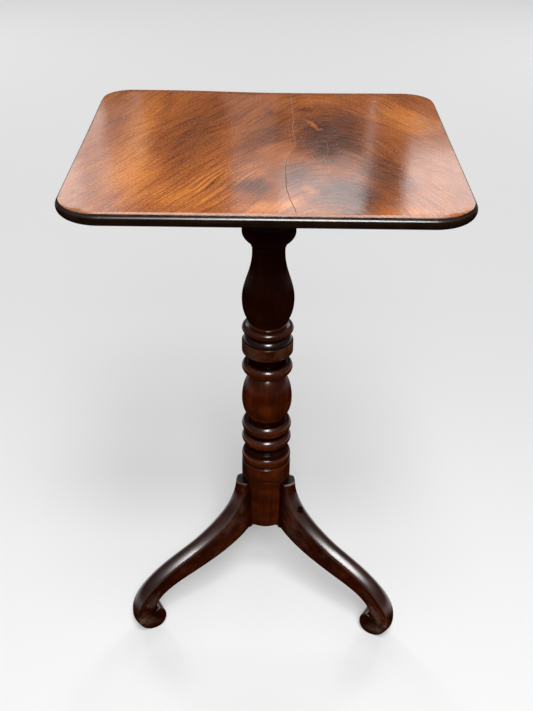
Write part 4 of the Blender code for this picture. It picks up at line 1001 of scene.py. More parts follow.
def flat_field(bm, ring, level, grid, cracks=(), width=0.0):
    """Fills a flat face from its rim, with a grid of points and the lips and floor of each crack."""
    places = [Vector((vert.co.x, vert.co.y)) for vert in ring]
    made = list(ring)
    edges = [(number, (number + 1) % len(ring)) for number in range(len(ring))]
    marks = {}
    lines = []
    for path in cracks:
        line = crack_line(path)
        lines.append(line)
        sides = ([], [], [], [], [])
        for number, spot in enumerate(line):
            ahead = line[min(number + 1, len(line) - 1)] - line[max(number - 1, 0)]
            normal = Vector((-ahead.y, ahead.x)).normalized()
            open_share = min(1.0, 0.15 + 0.22 * min(number, len(line) - 1 - number))
            for side, lane in zip((-2, -1, 0, 1, 2), sides):
                lane.append(len(places))
                places.append(spot + normal * side * width * open_share)
                made.append(None)
                marks[len(places) - 1] = side
        for lane in sides:
            edges += list(zip(lane, lane[1:]))
        for end in (0, -1):
            edges += [(first[end], second[end]) for first, second in zip(sides, sides[1:])]
    low = Vector((min(p.x for p in places), min(p.y for p in places)))
    high = Vector((max(p.x for p in places), max(p.y for p in places)))
    rim = [p.copy() for p in places[:len(ring)]]
    columns = int((high.x - low.x) / grid)
    rows = int((high.y - low.y) / grid)
    for column in range(1, columns):
        for row in range(1, rows):
            spot = Vector((low.x + (column + 0.25 * (row % 2)) * grid, low.y + row * grid))
            if min((spot - p).length for p in rim) < 0.6 * grid or not inside(rim, spot):
                continue
            if any((spot - p).length < 0.35 * grid for line in lines for p in line):
                continue
            places.append(spot)
            made.append(None)
    spots, _, faces, origin, _, _ = delaunay_2d_cdt(places, edges, [], 0, 1e-9)
    verts = []
    sides = []
    for number, spot in enumerate(spots):
        sources = origin[number]
        known = next((made[source] for source in sources if made[source] is not None), None)
        verts.append(known or bm.verts.new((spot.x, spot.y, level)))
        sides.append(next((marks[source] for source in sources if source in marks), None))
    for face in faces:
        bm.faces.new([verts[number] for number in face])
    return {vert: side for vert, side in zip(verts, sides) if side is not None}


def inside(rim, spot):
    """True where a spot lies within a convex rim that runs anticlockwise."""
    return all((b - a).cross(spot - a) > 0 for a, b in zip(rim, rim[1:] + rim[:1]))


class TABLE_OT_top(bpy.types.Operator):
    """Figured top with its moulded edge, its old crack and the slight warp of its back edge"""
    bl_idname = "table.top"
    bl_label = "Top"

    def execute(self, context):
        sizes = context.scene.table_top
        finish = context.scene.table_finish
        width, depth, thickness = TOP_HIGH - TOP_LOW
        middle = (TOP_LOW + TOP_HIGH) / 2
        bm = bmesh.new()
        crack = bm.verts.layers.float.new("crack")
        lip = bm.verts.layers.float.new("crack_lip")
        edge = bm.verts.layers.float.new("edge")
        wear_and_highlight = bm.verts.layers.float.new("wear_and_highlight")
        rings = []
        levels = edge_levels(thickness)
        for inset, level in levels:
            plan = rounded_plan(width, depth, sizes.corner_radius, sizes.back_radius, inset)
            rings.append([bm.verts.new((middle.x + x, middle.y + y, TOP_LOW.z + level)) for x, y in plan])
        count = len(rings[0])
        for number, (lower, upper) in enumerate(zip(rings, rings[1:])):
            for side in range(count):
                after = (side + 1) % count
                face = bm.faces.new((lower[side], lower[after], upper[after], upper[side]))
                face.material_index = 0 if number > len(rings) - 4 else 1
        # The edge mask lays the dark edge colour on the moulded edge as painted shade.
        for ring, (inset, level) in zip(rings, levels):
            for vert in ring:
                vert[edge] = 1.0 - smooth(3.05 * MM, 3.5 * MM, inset if level > thickness / 2 else 0.0)
                # The pale band on the upper arris is partly a painted highlight.
                if level > thickness - 1.2 * MM:
                    vert[wear_and_highlight] = 0.22 * close_to(inset, 3.2 * MM, 0.2 * MM, 1.2 * MM)
        marked = flat_field(bm, rings[-1], TOP_HIGH.z, sizes.grid, CRACK_PATHS, sizes.crack_width)
        # One lip of each crack is pale, as a painted highlight.
        for vert, side in marked.items():
            filled = smooth(-0.02, 0.03, vert.co.y)
            if side == 0:
                vert.co.z -= sizes.crack_depth
                vert[crack] = 1.0 - 0.75 * filled
            elif side == -1:
                vert[lip] = 0.65 + 0.35 * filled
        flat_field(bm, rings[0], TOP_LOW.z, 2 * sizes.grid)
        for face in bm.faces:
            if max(vert.co.z for vert in face.verts) < TOP_LOW.z + 1e-6:
                face.material_index = 2
        for vert in bm.verts:
            back = smooth(0.03, 0.20, vert.co.y)
            vert.co.z += back * sizes.lift_left * smooth(0.005, -0.13, vert.co.x)
            vert.co.z += back * sizes.lift_right * smooth(0.05, 0.18, vert.co.x)
        mesh = smoothed(mesh_of("polished_top", bm), 40)
        write_grain(mesh, (1, 0, 0), (0, 1, 0), (0.1, 0.2, 0.3))
        write_attribute(mesh, "grime_and_shade", [0.0] * len(mesh.vertices))
        write_polish(mesh, 1.0, 0.30, 0.60)
        faces = [polygon.material_index for polygon in mesh.polygons]
        add_piece("polished_top", mesh, figured_top(finish), "top", ["top_board"])
        mesh.materials.append(shaded_edge_wood(finish))
        mesh.materials.append(plain_wood(finish))
        mesh.polygons.foreach_set("material_index", faces)
        return {"FINISHED"}


def leg_place(name):
    return Matrix.Translation(AXIS) @ Matrix.Rotation(BASE_TURN + HEADINGS[name], 4, "Z")


def shoulder_end(spot, sizes):
    """Reach of the rounded end of a shoulder, as far from its middle line as a spot is."""
    return SHOULDER_REACH - sizes.shoulder_crown * crowned(min(1.0, abs(2 * spot.y / sizes.thickness)))


def dovetail(grow, low, high):
    """Plan of a leg's dovetail, in the leg's own frame, as a mesh from one level to another."""
    root = DOVETAIL_ROOT - grow
    outer = 0.034 + 0.025 / 4
    neck = 0.005 + grow
    wide = 0.0075 + grow
    flare = (wide - neck) / 0.014
    near = wide - flare * (outer - root)
    corners = ((root, -wide), (outer, -near), (outer, near), (root, wide))
    bm = bmesh.new()
    face = bm.faces.new([bm.verts.new((x, y, low)) for x, y in corners])
    grown = bmesh.ops.extrude_face_region(bm, geom=[face])["geom"]
    lifted = [item for item in grown if isinstance(item, bmesh.types.BMVert)]
    bmesh.ops.translate(bm, verts=lifted, vec=(0, 0, high - low))
    return mesh_of("dovetail", bm)


def leg_screw_line():
    """Head of the sunk screw in the right leg and the way it faces, in the leg's own frame."""
    face = Vector((0.0577, -0.0022, 0.1682))
    aim = Vector((0.0200, 0, 0.1590))
    way = (face - aim).normalized()
    return face - way * 0.005, way


class TABLE_OT_column(bpy.types.Operator):
    """Turned column with its sockets, its tenon and the kerf for the wedge"""
    bl_idname = "table.column"
    bl_label = "Column"

    def execute(self, context):
        sizes = context.scene.table_column
        finish = context.scene.table_finish
        profile = column_profile(sizes.radius, sizes.ease)
        stand = Matrix.Translation(AXIS) @ Matrix.Rotation(BASE_TURN, 4, "Z")
        mesh = lathe("turned_column", profile, sizes.sides, stand)
        tools = []
        for name in HEADINGS:
            socket = dovetail(SEAT_GAP, COLUMN_LOW.z - 0.01, DOVETAIL_TOP + SEAT_GAP)
            socket.transform(leg_place(name))
            tools.append(socket)
        wedge_low, wedge_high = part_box("tenon_wedge")
        kerf = [(-1.3 * MM, wedge_low.z - SEAT_GAP), (1.3 * MM, wedge_low.z - SEAT_GAP),
                (3.2 * MM, wedge_high.z + 0.004), (-3.2 * MM, wedge_high.z + 0.004)]
        tools.append(plank("kerf", kerf, 13.3 * MM, 0.05 * MM, None, stand))
        mesh = carve(mesh, joined("column_cuts", tools))
        write_grain(mesh, (0, 0, 1), (1, 0, 0), AXIS + Vector((0.013, 0.041, 0)))
        grime_and_shade = []
        wear_and_highlight = []
        dulled = []
        for vertex in mesh.vertices:
            spot = vertex.co - AXIS
            reach = spot.xy.length
            # Painted shade: grooves, the disc's bevel, the steps above the lowest ring and the scribed line
            # are darkened, and the baluster and capital are darkened as the shadow of the top.
            deep = smooth(0.0322, 0.0282, reach)
            plain = between(spot.z, 0.452, 0.458, 0.566, 0.5715)
            ball = between(spot.z, 0.3115, 0.3165, 0.377, 0.3835)
            scribe = close_to(spot.z, SCRIBED_LINE, 0.0004, 0.0016)
            capital = 0.80 * smooth(0.452, 0.470, spot.z) + 0.14 * smooth(0.555, 0.59, spot.z)
            bevel = between(spot.z, 0.4332, 0.4345, 0.4435, 0.4450)
            steps = between(spot.z, 0.2525, 0.2545, 0.2662, 0.2680)
            groove = max(deep * (1 - plain) * (1 - ball), 0.9 * bevel, 0.9 * steps)
            grime_and_shade.append(0.0 if spot.z < PLAIN_BASE else min(1.0, max(groove, 0.9 * scribe, capital)))
            upper = 0.75 * smooth(0.458, 0.475, spot.z)
            dulled.append(max(0.92 * groove * (1 - bevel), 0.55 * ball, 0.6 * scribe, upper))
            # Painted reflection: a pale line at the neck fillet; the disc's edges are rubbed.
            disc = sum(close_to(spot.z, level, 0.0006, 0.0022) for level in DISC_EDGES)
            edge = smooth(0.0333, 0.0339, reach) * min(1.0, disc)
            fillet = close_to(spot.z, NECK_FILLET, 0.0004, 0.0012) * smooth(0.0217, 0.0222, reach)
            wear_and_highlight.append(max(0.07 * edge, 0.22 * fillet))
        write_attribute(mesh, "grime_and_shade", grime_and_shade)
        write_attribute(mesh, "wear_and_highlight", wear_and_highlight)
        write_polish(mesh, 0.9, dulled=dulled)
        wood = column_wood(finish)
        add_piece("turned_column", smoothed(mesh), wood, "stand", ["column"])
        return {"FINISHED"}


class TABLE_OT_legs(bpy.types.Operator):
    """Three downswept legs with flat shoulders, scroll feet and dovetails"""
    bl_idname = "table.legs"
    bl_label = "Legs"

    def execute(self, context):
        sizes = context.scene.table_legs
        finish = context.scene.table_finish
        reach = context.scene.table_column.radius
        upper, foot, lower = leg_curves(reach)
        bow = sizes.shoulder_crown
        outline = [(LEG_INNER, SHOULDER_LEVEL)]
        crown = [0.0]
        for back, down, share in SHOULDER_STEPS:
            outline.append((SHOULDER_REACH - back * MM, SHOULDER_LEVEL - down * MM))
            crown.append((-share * bow, 0.0))
        arris = [0.4 * MM] * len(outline)
        upper = [point for point in upper if point[1] < SHOULDER_LEVEL - 1.0 * MM]
        outline += upper + foot + lower
        for number in range(len(upper)):
            share = number / len(upper)
            swell = 0.22 + 0.78 * smooth(0.05, 0.45, share)
            arris.append(sizes.arris * swell * (1 - 0.35 * smooth(0.75, 1.0, share)))
            crown.append(bow + (sizes.crown - bow) * smooth(0.0, 0.35, share)
                         - 0.50 * sizes.crown * smooth(0.72, 1.0, share))
        for number in range(len(foot)):
            kept = 1 - smooth(0.0, 0.42, number / len(foot))
            arris.append(sizes.low_arris + (0.65 * sizes.arris - sizes.low_arris) * kept)
            crown.append(0.50 * sizes.crown * kept)
        arris += [sizes.low_arris] * len(lower)
        crown += [0.0] * len(lower)
        snug = reach + SEAT_GAP / 3
        above, taper_top, below = 0.2315, 0.2161, 0.1125
        hollow = [(0, above), (snug, above), (snug, taper_top), (snug - BASE_TAPER, COLUMN_LOW.z),
                  (snug - BASE_TAPER, below), (0, below)]
        for name, node in LEG_NODES.items():
            place = leg_place(name)
            mesh = plank(f"scroll_leg_{name}", outline, sizes.thickness / 2, arris, crown)
            mesh = carve(mesh, lathe("leg_hollow", hollow, context.scene.table_column.sides))
            mesh = carve(mesh, dovetail(0, COLUMN_LOW.z + SEAT_GAP, DOVETAIL_TOP), "UNION")
            if name == "right":
                head, way = leg_screw_line()
                aim = Vector((0, 0, 1)).rotation_difference(way).to_matrix().to_4x4()
                hole = [(0, 0.02), (5.2 * MM, 0.02), (4.8 * MM, 4.6 * MM), (4.4 * MM, -0.5 * MM),
                        (2.2 * MM, -2.6 * MM), (2.2 * MM, -0.03), (0, -0.03)]
                mesh = carve(mesh, lathe("screw_hole", hole, 32, Matrix.Translation(head) @ aim))
            write_attribute(mesh, "wear_and_highlight", [self.worn_and_highlight(vertex.co, sizes) for vertex in mesh.vertices])
            write_attribute(mesh, "grime_and_shade", [self.grimy_and_shaded(vertex.co, name, sizes) for vertex in mesh.vertices])
            mesh.transform(place)
            turned = place.to_3x3()
            write_grain(mesh, turned @ Vector((0.66, 0, -0.75)), turned @ Vector((0.75, 0, 0.66)),
                        AXIS + Vector((0.11 * len(name), 0.07 * len(node), 0.05)))
            ledge = (SHOULDER_LEVEL - 1.2 * MM, SHOULDER_LEVEL - 0.4 * MM)
            dulled = [0.85 * smooth(*ledge, vertex.co.z) * smooth(0.80, 0.97, vertex.normal.z)
                      for vertex in mesh.vertices]
            write_polish(mesh, 1.0, dulled=dulled)
            add_piece(f"scroll_leg_{name}", smoothed(mesh), leg_wood(finish), "stand", [node])
        return {"FINISHED"}

    @staticmethod
    def worn_and_highlight(spot, sizes):
        """Polish rubbed off the arrises of the foot and the toe, and a pale rim on the shoulder's edges that
        is partly rubbing and partly a painted highlight.
        """
        shoulder = smooth(SHOULDER_LEVEL - 0.0022, SHOULDER_LEVEL - 0.0004, spot.z)
        shoulder *= smooth(0.0365, 0.0385, spot.x)
        bow = shoulder_end(spot, sizes)
        rim = max(smooth(bow - 0.0013, bow - 0.0003, spot.x), smooth(0.0112, 0.0122, abs(spot.y)))
        heel = smooth(0.060, 0.020, spot.z) * smooth(0.190, 0.204, spot.x)
        side = smooth(sizes.thickness / 2 - 0.0045, sizes.thickness / 2 - 0.001, abs(spot.y))
        edge = smooth(0.105, 0.125, spot.z) * smooth(0.0395, 0.0425, spot.x) * side
        return min(1.0, 0.90 * shoulder * rim + 0.20 * heel * (0.3 + side) + 0.06 * edge)

    @staticmethod
    def grimy_and_shaded(spot, name, sizes):
        """Painted shade against the column, in the notch of the scroll, round the sunk screw, low on the foot
        near the floor and on the shoulder's top inside its rim.
        """
        joint = smooth(0.0470, 0.0350, Vector((spot.x, spot.y)).length)
        notch = smooth(0.012, 0.002, (Vector((spot.x, spot.z)) - Vector(CURL)).length)
        hole = 0.0
        if name == "right":
            head, way = leg_screw_line()
            away = spot - head
            hole = smooth(0.0062, 0.0048, (away - way * away.dot(way)).length)
            hole *= smooth(0.0085, 0.0055, abs(away.dot(way)))
        low = 0.55 * smooth(0.014, 0.0, spot.z)
        inner = shoulder_end(spot, sizes) - 0.0012
        ledge = smooth(SHOULDER_LEVEL - 0.0008, SHOULDER_LEVEL - 0.0002, spot.z)
        ledge *= smooth(inner, inner - 0.0008, spot.x)
        return max(0.80 * joint, 0.8 * notch, hole, low, ledge)


class TABLE_OT_underframe(bpy.types.Operator):
    """Block, wedge, pivot pins and the two bearers under the top"""
    bl_idname = "table.underframe"
    bl_label = "Block and bearers"

    def execute(self, context):
        arris = context.scene.table_gear.wood_arris
        finish = context.scene.table_finish
        wood = plain_wood(finish)
        self.block(arris, wood)
        for side, word in ((-1, "left"), (1, "right")):
            self.bearer(side, word, arris, wood)
            self.pin(side, word, iron(finish))
        wedge = frame["nodes"]["tenon_wedge"]
        wedge.data.materials.clear()
        wedge.data.materials.append(wood)
        return {"FINISHED"}

    @staticmethod
    def block(arris, wood):
        nose = (BLOCK_HIGH.z - BLOCK_LOW.z) / 2
        points = [(BLOCK_HIGH.y, BLOCK_LOW.z), (BLOCK_HIGH.y, BLOCK_HIGH.z)]
        for step in range(29):
            angle = math.pi / 2 + math.pi * step / 28
            points.append((PIVOT.y + nose * math.cos(angle), PIVOT.z + nose * math.sin(angle)))
        across = Matrix.Translation((AXIS.x, 0, 0)) @ Matrix.Rotation(math.pi / 2, 4, "Z")
        half = (BLOCK_HIGH.x - BLOCK_LOW.x) / 2
        mesh = plank("tipping_block", eased(points, arris, True), half, arris, None, across)
        bore = drill("tenon_bore", 16.3 * MM, BLOCK_LOW.z - 0.01, BLOCK_HIGH.z + 0.01, 96,
                     Matrix.Translation(AXIS))
        mesh = carve(mesh, bore)
        bolt_low, bolt_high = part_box("catch_bolt")
        window = rectangle(BLOCK_HIGH.y - 0.010, BLOCK_HIGH.y + 0.010,
                           bolt_low.z - BOLT_PLAY, bolt_high.z + BOLT_PLAY)
        tools = [plank("mortise", window, 4.5 * MM, 0.1 * MM, None, across)]
        for side in (-1, 1):
            aim = Matrix.Translation(PIVOT) @ Matrix.Rotation(side * math.pi / 2, 4, "Y")
            tools.append(drill("pin_bore", 4.3 * MM, 0.0327, 0.1, 48, aim))
        mesh = carve(mesh, joined("block_cuts", tools))
        write_grain(mesh, (1, 0, 0), (0, 1, 0), AXIS + Vector((0.3, 0.2, 0.1)))
        grime_and_shade = [smooth(0.022, 0.0165, (vertex.co - AXIS).xy.length) * 0.8 for vertex in mesh.vertices]
        write_attribute(mesh, "grime_and_shade", grime_and_shade)
        add_piece("tipping_block", smoothed(mesh), wood, "stand", ["pivot_block"])

    @staticmethod
    def bearer(side, word, arris, wood):
        low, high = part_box(f"bearer_{word}")
        half = (high.y - low.y) / 2
        inner = half - 0.055
        end = high.z - 0.009
        middle = (low.y + high.y) / 2
        curve = bezier((-half, end), (-half + 0.0275, end), (-inner - 0.0275, low.z), (-inner, low.z), 20)
        curve.append((-inner, low.z))
        outline = [(half, high.z), (-half, high.z)] + curve + [(-y, z) for y, z in reversed(curve)]
        centre = (low.x + high.x) / 2
        across = Matrix.Translation((centre, middle, 0)) @ Matrix.Rotation(math.pi / 2, 4, "Z")
        thick = high.x - low.x
        mesh = plank(f"bearer_{word}_eased", eased(outline, arris, True), thick / 2, arris, None, across)
        aim = Matrix.Translation((centre, PIVOT.y, PIVOT.z)) @ Matrix.Rotation(math.pi / 2, 4, "Y")
        tools = [drill("pin_hole", 4.5 * MM, -0.03, 0.03, 48, aim)]
        for number in range(3):
            spot = Vector((centre, middle + (number - 1) * 0.105, low.z + 0.010))
            tools.append(drill("pocket", 4.1 * MM, -0.02, 0.002, 40, Matrix.Translation(spot)))
        mesh = carve(mesh, joined("bearer_cuts", tools))
        write_grain(mesh, (0, 1, 0), (1, 0, 0), (0.2 * side, 0.4, 0.3))
        write_attribute(mesh, "grime_and_shade", [0.0] * len(mesh.vertices))
        add_piece(f"bearer_{word}_eased", smoothed(mesh), wood, "top", [f"bearer_{word}"])

    @staticmethod
    def pin(side, word, metal):
        low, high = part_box(f"pivot_pin_{word}")
        tip, head = (high.x, low.x) if side < 0 else (low.x, high.x)
        total = abs(head - tip)
        place = Matrix.Translation((tip, PIVOT.y, PIVOT.z)) @ Matrix.Rotation(side * math.pi / 2, 4, "Y")
        rim = total - 1.5 * MM
        seat = total - 2.5 * MM
        profile = bezier((0, total), (3.4 * MM, total), (5.6 * MM, total - 0.4 * MM), (6.5 * MM, rim), 10)
        profile += [(6.5 * MM, rim), (6.5 * MM, seat), (4 * MM, seat), (4 * MM, 0.6 * MM), (3.4 * MM, 0),
                    (0, 0)]
        mesh = lathe(f"pin_{word}", eased(profile, 0.25 * MM), 56, place)
        add_piece(f"pin_{word}", smoothed(mesh), metal, "stand", [f"pivot_pin_{word}"])


def curve_at(curve, along):
    """Level and slope of a curve at a distance from the axis, from the last stretch that spans it."""
    for (a, b), (c, d) in zip(curve, curve[1:]):
        if min(a, c) <= along <= max(a, c) and a != c:
            level = b + (along - a) / (c - a) * (d - b)
            slope = (d - b) / (c - a)
    return level, slope


def brace_outline(reach):
    """Side view of one brace arm: flat under the column, then bent down along the leg."""
    thick = BRACE_THICKNESS
    near = COLUMN_LOW.z - SEAT_GAP
    step = ROOT_LEVEL - SEAT_GAP
    corner = DOVETAIL_ROOT - SEAT_GAP
    curve = leg_curves(reach)[2]
    upper = [(0, near), (corner - thick, near), (corner, step), (reach, step)]
    lower = [(0, near - thick), (corner - 2 * thick, near - thick), (corner - thick, step - thick),
             (reach - 1.2 * MM, step - thick)]
    for number in range(1, 15):
        along = reach + (0.078 - reach) * number / 14
        level, slope = curve_at(curve, along)
        normal = Vector((slope, -1)).normalized()
        upper.append((along + normal.x * SEAT_GAP, level + normal.y * SEAT_GAP))
        far = SEAT_GAP + thick
        lower.append((along + normal.x * far, level + normal.y * far))
    return upper + list(reversed(lower))


class TABLE_OT_brace(bpy.types.Operator):
    """Iron brace under the base, with an arm bent down along each leg"""
    bl_idname = "table.brace"
    bl_label = "Base brace"

    def execute(self, context):
        arris = context.scene.table_gear.metal_arris
        finish = context.scene.table_finish
        reach = context.scene.table_column.radius
        top = COLUMN_LOW.z - SEAT_GAP
        hub = [(0, top), (16.2 * MM, top), (16.5 * MM, top - 0.3 * MM), (16.5 * MM, top - 2.0 * MM),
               (16.0 * MM, top - BRACE_THICKNESS), (0, top - BRACE_THICKNESS)]
        mesh = lathe("iron_brace", hub, 48, Matrix.Translation(AXIS))
        for name in HEADINGS:
            arm = plank("brace_arm", brace_outline(reach), 7.5 * MM, arris)
            arm.transform(leg_place(name))
            mesh = carve(mesh, arm, "UNION")
        add_piece("iron_brace", smoothed(mesh), iron(finish), "stand", ["base_brace"])
        return {"FINISHED"}


class TABLE_OT_catch(bpy.types.Operator):
    """Brass sliding catch under the top, and its keeper on the block"""
    bl_idname = "table.catch"
    bl_label = "Catch"

    def execute(self, context):
        arris = context.scene.table_gear.metal_arris
        metal = brass(context.scene.table_finish)
        self.plate(arris, metal)
        self.case(arris, metal)
        self.bolt(arris, metal)
        self.keeper(arris, metal)
        return {"FINISHED"}

    @staticmethod
    def plate(arris, metal):
        low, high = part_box("catch_plate")
        size = (high - low) / 2
        middle = (low + high) / 2
        corners = rectangle(-size.x, size.x, -size.y, size.y)
        place = Matrix.Translation(middle) @ Matrix.Rotation(math.pi / 2, 4, "X")
        mesh = plank("brass_plate", eased(corners, 2.5 * MM, True), size.z, arris, None, place)
        add_piece("brass_plate", smoothed(mesh), metal, "top", ["catch_plate"])

    @staticmethod
    def case(arris, metal):
        low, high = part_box("catch_case")
        bolt_low, bolt_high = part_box("catch_bolt")
        centre = (low.x + high.x) / 2
        inner = (bolt_high.x - bolt_low.x) / 2 + BOLT_PLAY
        wall = 1.4 * MM
        edge = high.x - centre
        right = [(inner, low.z + wall), (inner, high.z), (edge, high.z), (edge, high.z - wall),
                 (inner + wall, high.z - wall), (inner + wall, low.z)]
        outline = right + [(-x, z) for x, z in reversed(right)]
        place = Matrix.Translation((centre, (low.y + high.y) / 2, 0))
        half = (high.y - low.y) / 2
        mesh = plank("brass_case", eased(outline, 0.35 * MM, True), half, 0.8 * arris, None, place)
        add_piece("brass_case", smoothed(mesh), metal, "top", ["catch_case"])

    @staticmethod
    def bolt(arris, metal):
        low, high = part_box("catch_bolt")
        outline = [(low.y, low.z + 1.2 * MM), (low.y + 1.2 * MM, low.z), (high.y, low.z), (high.y, high.z),
                   (low.y + 1.2 * MM, high.z), (low.y, high.z - 1.2 * MM)]
        place = Matrix.Translation(((low.x + high.x) / 2, 0, 0)) @ Matrix.Rotation(math.pi / 2, 4, "Z")
        mesh = plank("brass_bolt", eased(outline, 0.5 * MM, True), (high.x - low.x) / 2, arris, None, place)
        add_piece("brass_bolt", smoothed(mesh), metal, "bolt", ["catch_bolt"])
        knob_low, knob_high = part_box("bolt_knob")
        middle = (knob_low + knob_high) / 2
        neck = low.z - 2.5 * MM
        half = (neck - knob_low.z) / 2
        points = [(0, low.z + 2 * MM), (2 * MM, low.z + 2 * MM), (2 * MM, low.z - 0.1 * MM),
                  (3.2 * MM, low.z - 0.1 * MM), (3.2 * MM, low.z - 0.7 * MM)]
        points += bezier((3.2 * MM, low.z - 0.7 * MM), (2 * MM, low.z - 1.0 * MM),
                         (1.9 * MM, neck + 0.5 * MM), (2.2 * MM, neck), 8)
        for step in range(3, 25):
            angle = math.pi / 2 - math.pi * step / 24
            points.append((5.5 * MM * math.cos(angle), neck - half + half * math.sin(angle)))
        points[-1] = (0, knob_low.z)
        mesh = lathe("brass_knob", points, 56, Matrix.Translation((middle.x, middle.y, 0)))
        add_piece("brass_knob", smoothed(mesh), metal, "bolt", ["bolt_knob"])

    @staticmethod
    def keeper(arris, metal):
        low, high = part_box("keeper_plate")
        size = (high - low) / 2
        middle = (low + high) / 2
        corners = rectangle(-size.x, size.x, -size.z, size.z)
        place = Matrix.Translation(middle)
        mesh = plank("brass_keeper", eased(corners, 1.5 * MM, True), size.y, 0.6 * arris, None, place)
        bolt_low, bolt_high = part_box("catch_bolt")
        half = (bolt_high.x - bolt_low.x) / 2 + BOLT_PLAY
        window = rectangle(-half, half, bolt_low.z - BOLT_PLAY, bolt_high.z + BOLT_PLAY)
        place = Matrix.Translation((middle.x, middle.y, 0))
        hole = plank("keeper_window", window, 4 * MM, 0.05 * MM, None, place)
        mesh = carve(mesh, hole)
        add_piece("brass_keeper", smoothed(mesh), metal, "stand", ["keeper_plate"])


def geometry_group():
    """Geometry nodes: a slotted countersunk screw on every point, turned to face the way that point says."""
    if "slotted screws" in bpy.data.node_groups:
        return bpy.data.node_groups["slotted screws"]
    tree = bpy.data.node_groups.new("slotted screws", "GeometryNodeTree")
    face = tree.interface
    face.new_socket("Places", in_out="INPUT", socket_type="NodeSocketGeometry")
    for label in ("Head radius", "Head depth", "Shank radius", "Length", "Slot width", "Slot depth"):
        face.new_socket(label, in_out="INPUT", socket_type="NodeSocketFloat")
    face.new_socket("Metal", in_out="INPUT", socket_type="NodeSocketMaterial")
    face.new_socket("Screws", in_out="OUTPUT", socket_type="NodeSocketGeometry")
    given = tree.nodes.new("NodeGroupInput").outputs
    gives = tree.nodes.new("NodeGroupOutput").inputs

    def times(value, share):
        return put(tree, "ShaderNodeMath", {0: value, 1: share}, operation="MULTIPLY").outputs[0]

    def moved(geometry, offset):
        inputs = {"Geometry": geometry, "Translation": offset}
        return put(tree, "GeometryNodeTransform", inputs).outputs["Geometry"]

    def down(value):
        return put(tree, "ShaderNodeCombineXYZ", {"Z": times(value, -1.0)}).outputs["Vector"]

    head = put(tree, "GeometryNodeMeshCone", {
        "Vertices": 32, "Radius Top": given["Head radius"], "Radius Bottom": given["Shank radius"],
        "Depth": given["Head depth"]})
    shank = put(tree, "GeometryNodeMeshCone", {
        "Vertices": 24, "Radius Top": times(given["Shank radius"], 0.96),
        "Radius Bottom": times(given["Shank radius"], 0.35), "Depth": times(given["Length"], 0.9)})
    head_low = moved(head.outputs["Mesh"], down(given["Head depth"]))
    shank_low = moved(shank.outputs["Mesh"], down(given["Length"]))
    whole = put(tree, "GeometryNodeMeshBoolean", None, operation="UNION", solver="EXACT")
    tree.links.new(head_low, whole.inputs["Mesh 2"])
    tree.links.new(shank_low, whole.inputs["Mesh 2"])
    wide = times(given["Head radius"], 2.4)
    block = put(tree, "ShaderNodeCombineXYZ", {"X": wide, "Y": given["Slot width"],
                                               "Z": times(given["Slot depth"], 2.0)}).outputs["Vector"]
    slot = put(tree, "GeometryNodeMeshCube", {"Size": block}).outputs["Mesh"]
    slotted = put(tree, "GeometryNodeMeshBoolean", {"Mesh 1": whole.outputs["Mesh"]}, operation="DIFFERENCE",
                  solver="EXACT")
    tree.links.new(slot, slotted.inputs["Mesh 2"])
    facing = put(tree, "GeometryNodeInputNamedAttribute", {"Name": "facing"},
                 data_type="FLOAT_VECTOR").outputs[0]
    aim = put(tree, "FunctionNodeAlignRotationToVector", {"Vector": facing}, axis="Z").outputs["Rotation"]
    spin = put(tree, "FunctionNodeRandomValue", {"Min": 0.0, "Max": 3.1, "Seed": 5}, data_type="FLOAT")
    twist = put(tree, "ShaderNodeCombineXYZ", {"Z": spin.outputs[1]}).outputs["Vector"]
    about = put(tree, "FunctionNodeEulerToRotation", {"Euler": twist}).outputs["Rotation"]
    turn = put(tree, "FunctionNodeRotateRotation", {"Rotation": aim, "Rotate By": about},
               rotation_space="LOCAL").outputs["Rotation"]
    placed = put(tree, "GeometryNodeInstanceOnPoints", {
        "Points": given["Places"], "Instance": slotted.outputs["Mesh"],
        "Rotation": turn}).outputs["Instances"]
    real = put(tree, "GeometryNodeRealizeInstances", {"Geometry": placed}).outputs["Geometry"]
    coated = put(tree, "GeometryNodeSetMaterial", {
        "Geometry": real, "Material": given["Metal"]}).outputs["Geometry"]
    tree.links.new(coated, gives["Screws"])
    return tree


def screws(name, places, sizes, metal, body, replaced):
    """Slotted screws at some places of one body, made by the geometry nodes and kept as a plain mesh."""
    tree = geometry_group()
    points = bpy.data.meshes.new(name + "_places")
    points.from_pydata([centre for centre, _ in places], [], [])
    facing = points.attributes.new("facing", "FLOAT_VECTOR", "POINT")
    for item, (_, way) in zip(facing.data, places):
        item.vector = way
    holder = bpy.data.objects.new(name + "_places", points)
    bpy.context.scene.collection.objects.link(holder)
    modifier = holder.modifiers.new("screws", "NODES")
    modifier.node_group = tree
    sockets = {item.name: item.identifier for item in tree.interface.items_tree if item.in_out == "INPUT"}
    for label, value in sizes.items():
        modifier[sockets[label]] = value
    modifier[sockets["Metal"]] = metal
    bpy.context.view_layer.update()
    graph = bpy.context.evaluated_depsgraph_get()
    mesh = bpy.data.meshes.new_from_object(holder.evaluated_get(graph))
    holder.modifiers.clear()
    bpy.data.objects.remove(holder)
    bpy.data.meshes.remove(points)
    if not mesh.polygons:
        raise RuntimeError(f"{name}: the screws came out empty")
    mesh.name = name
    add_piece(name, smoothed(mesh), metal, body, replaced)


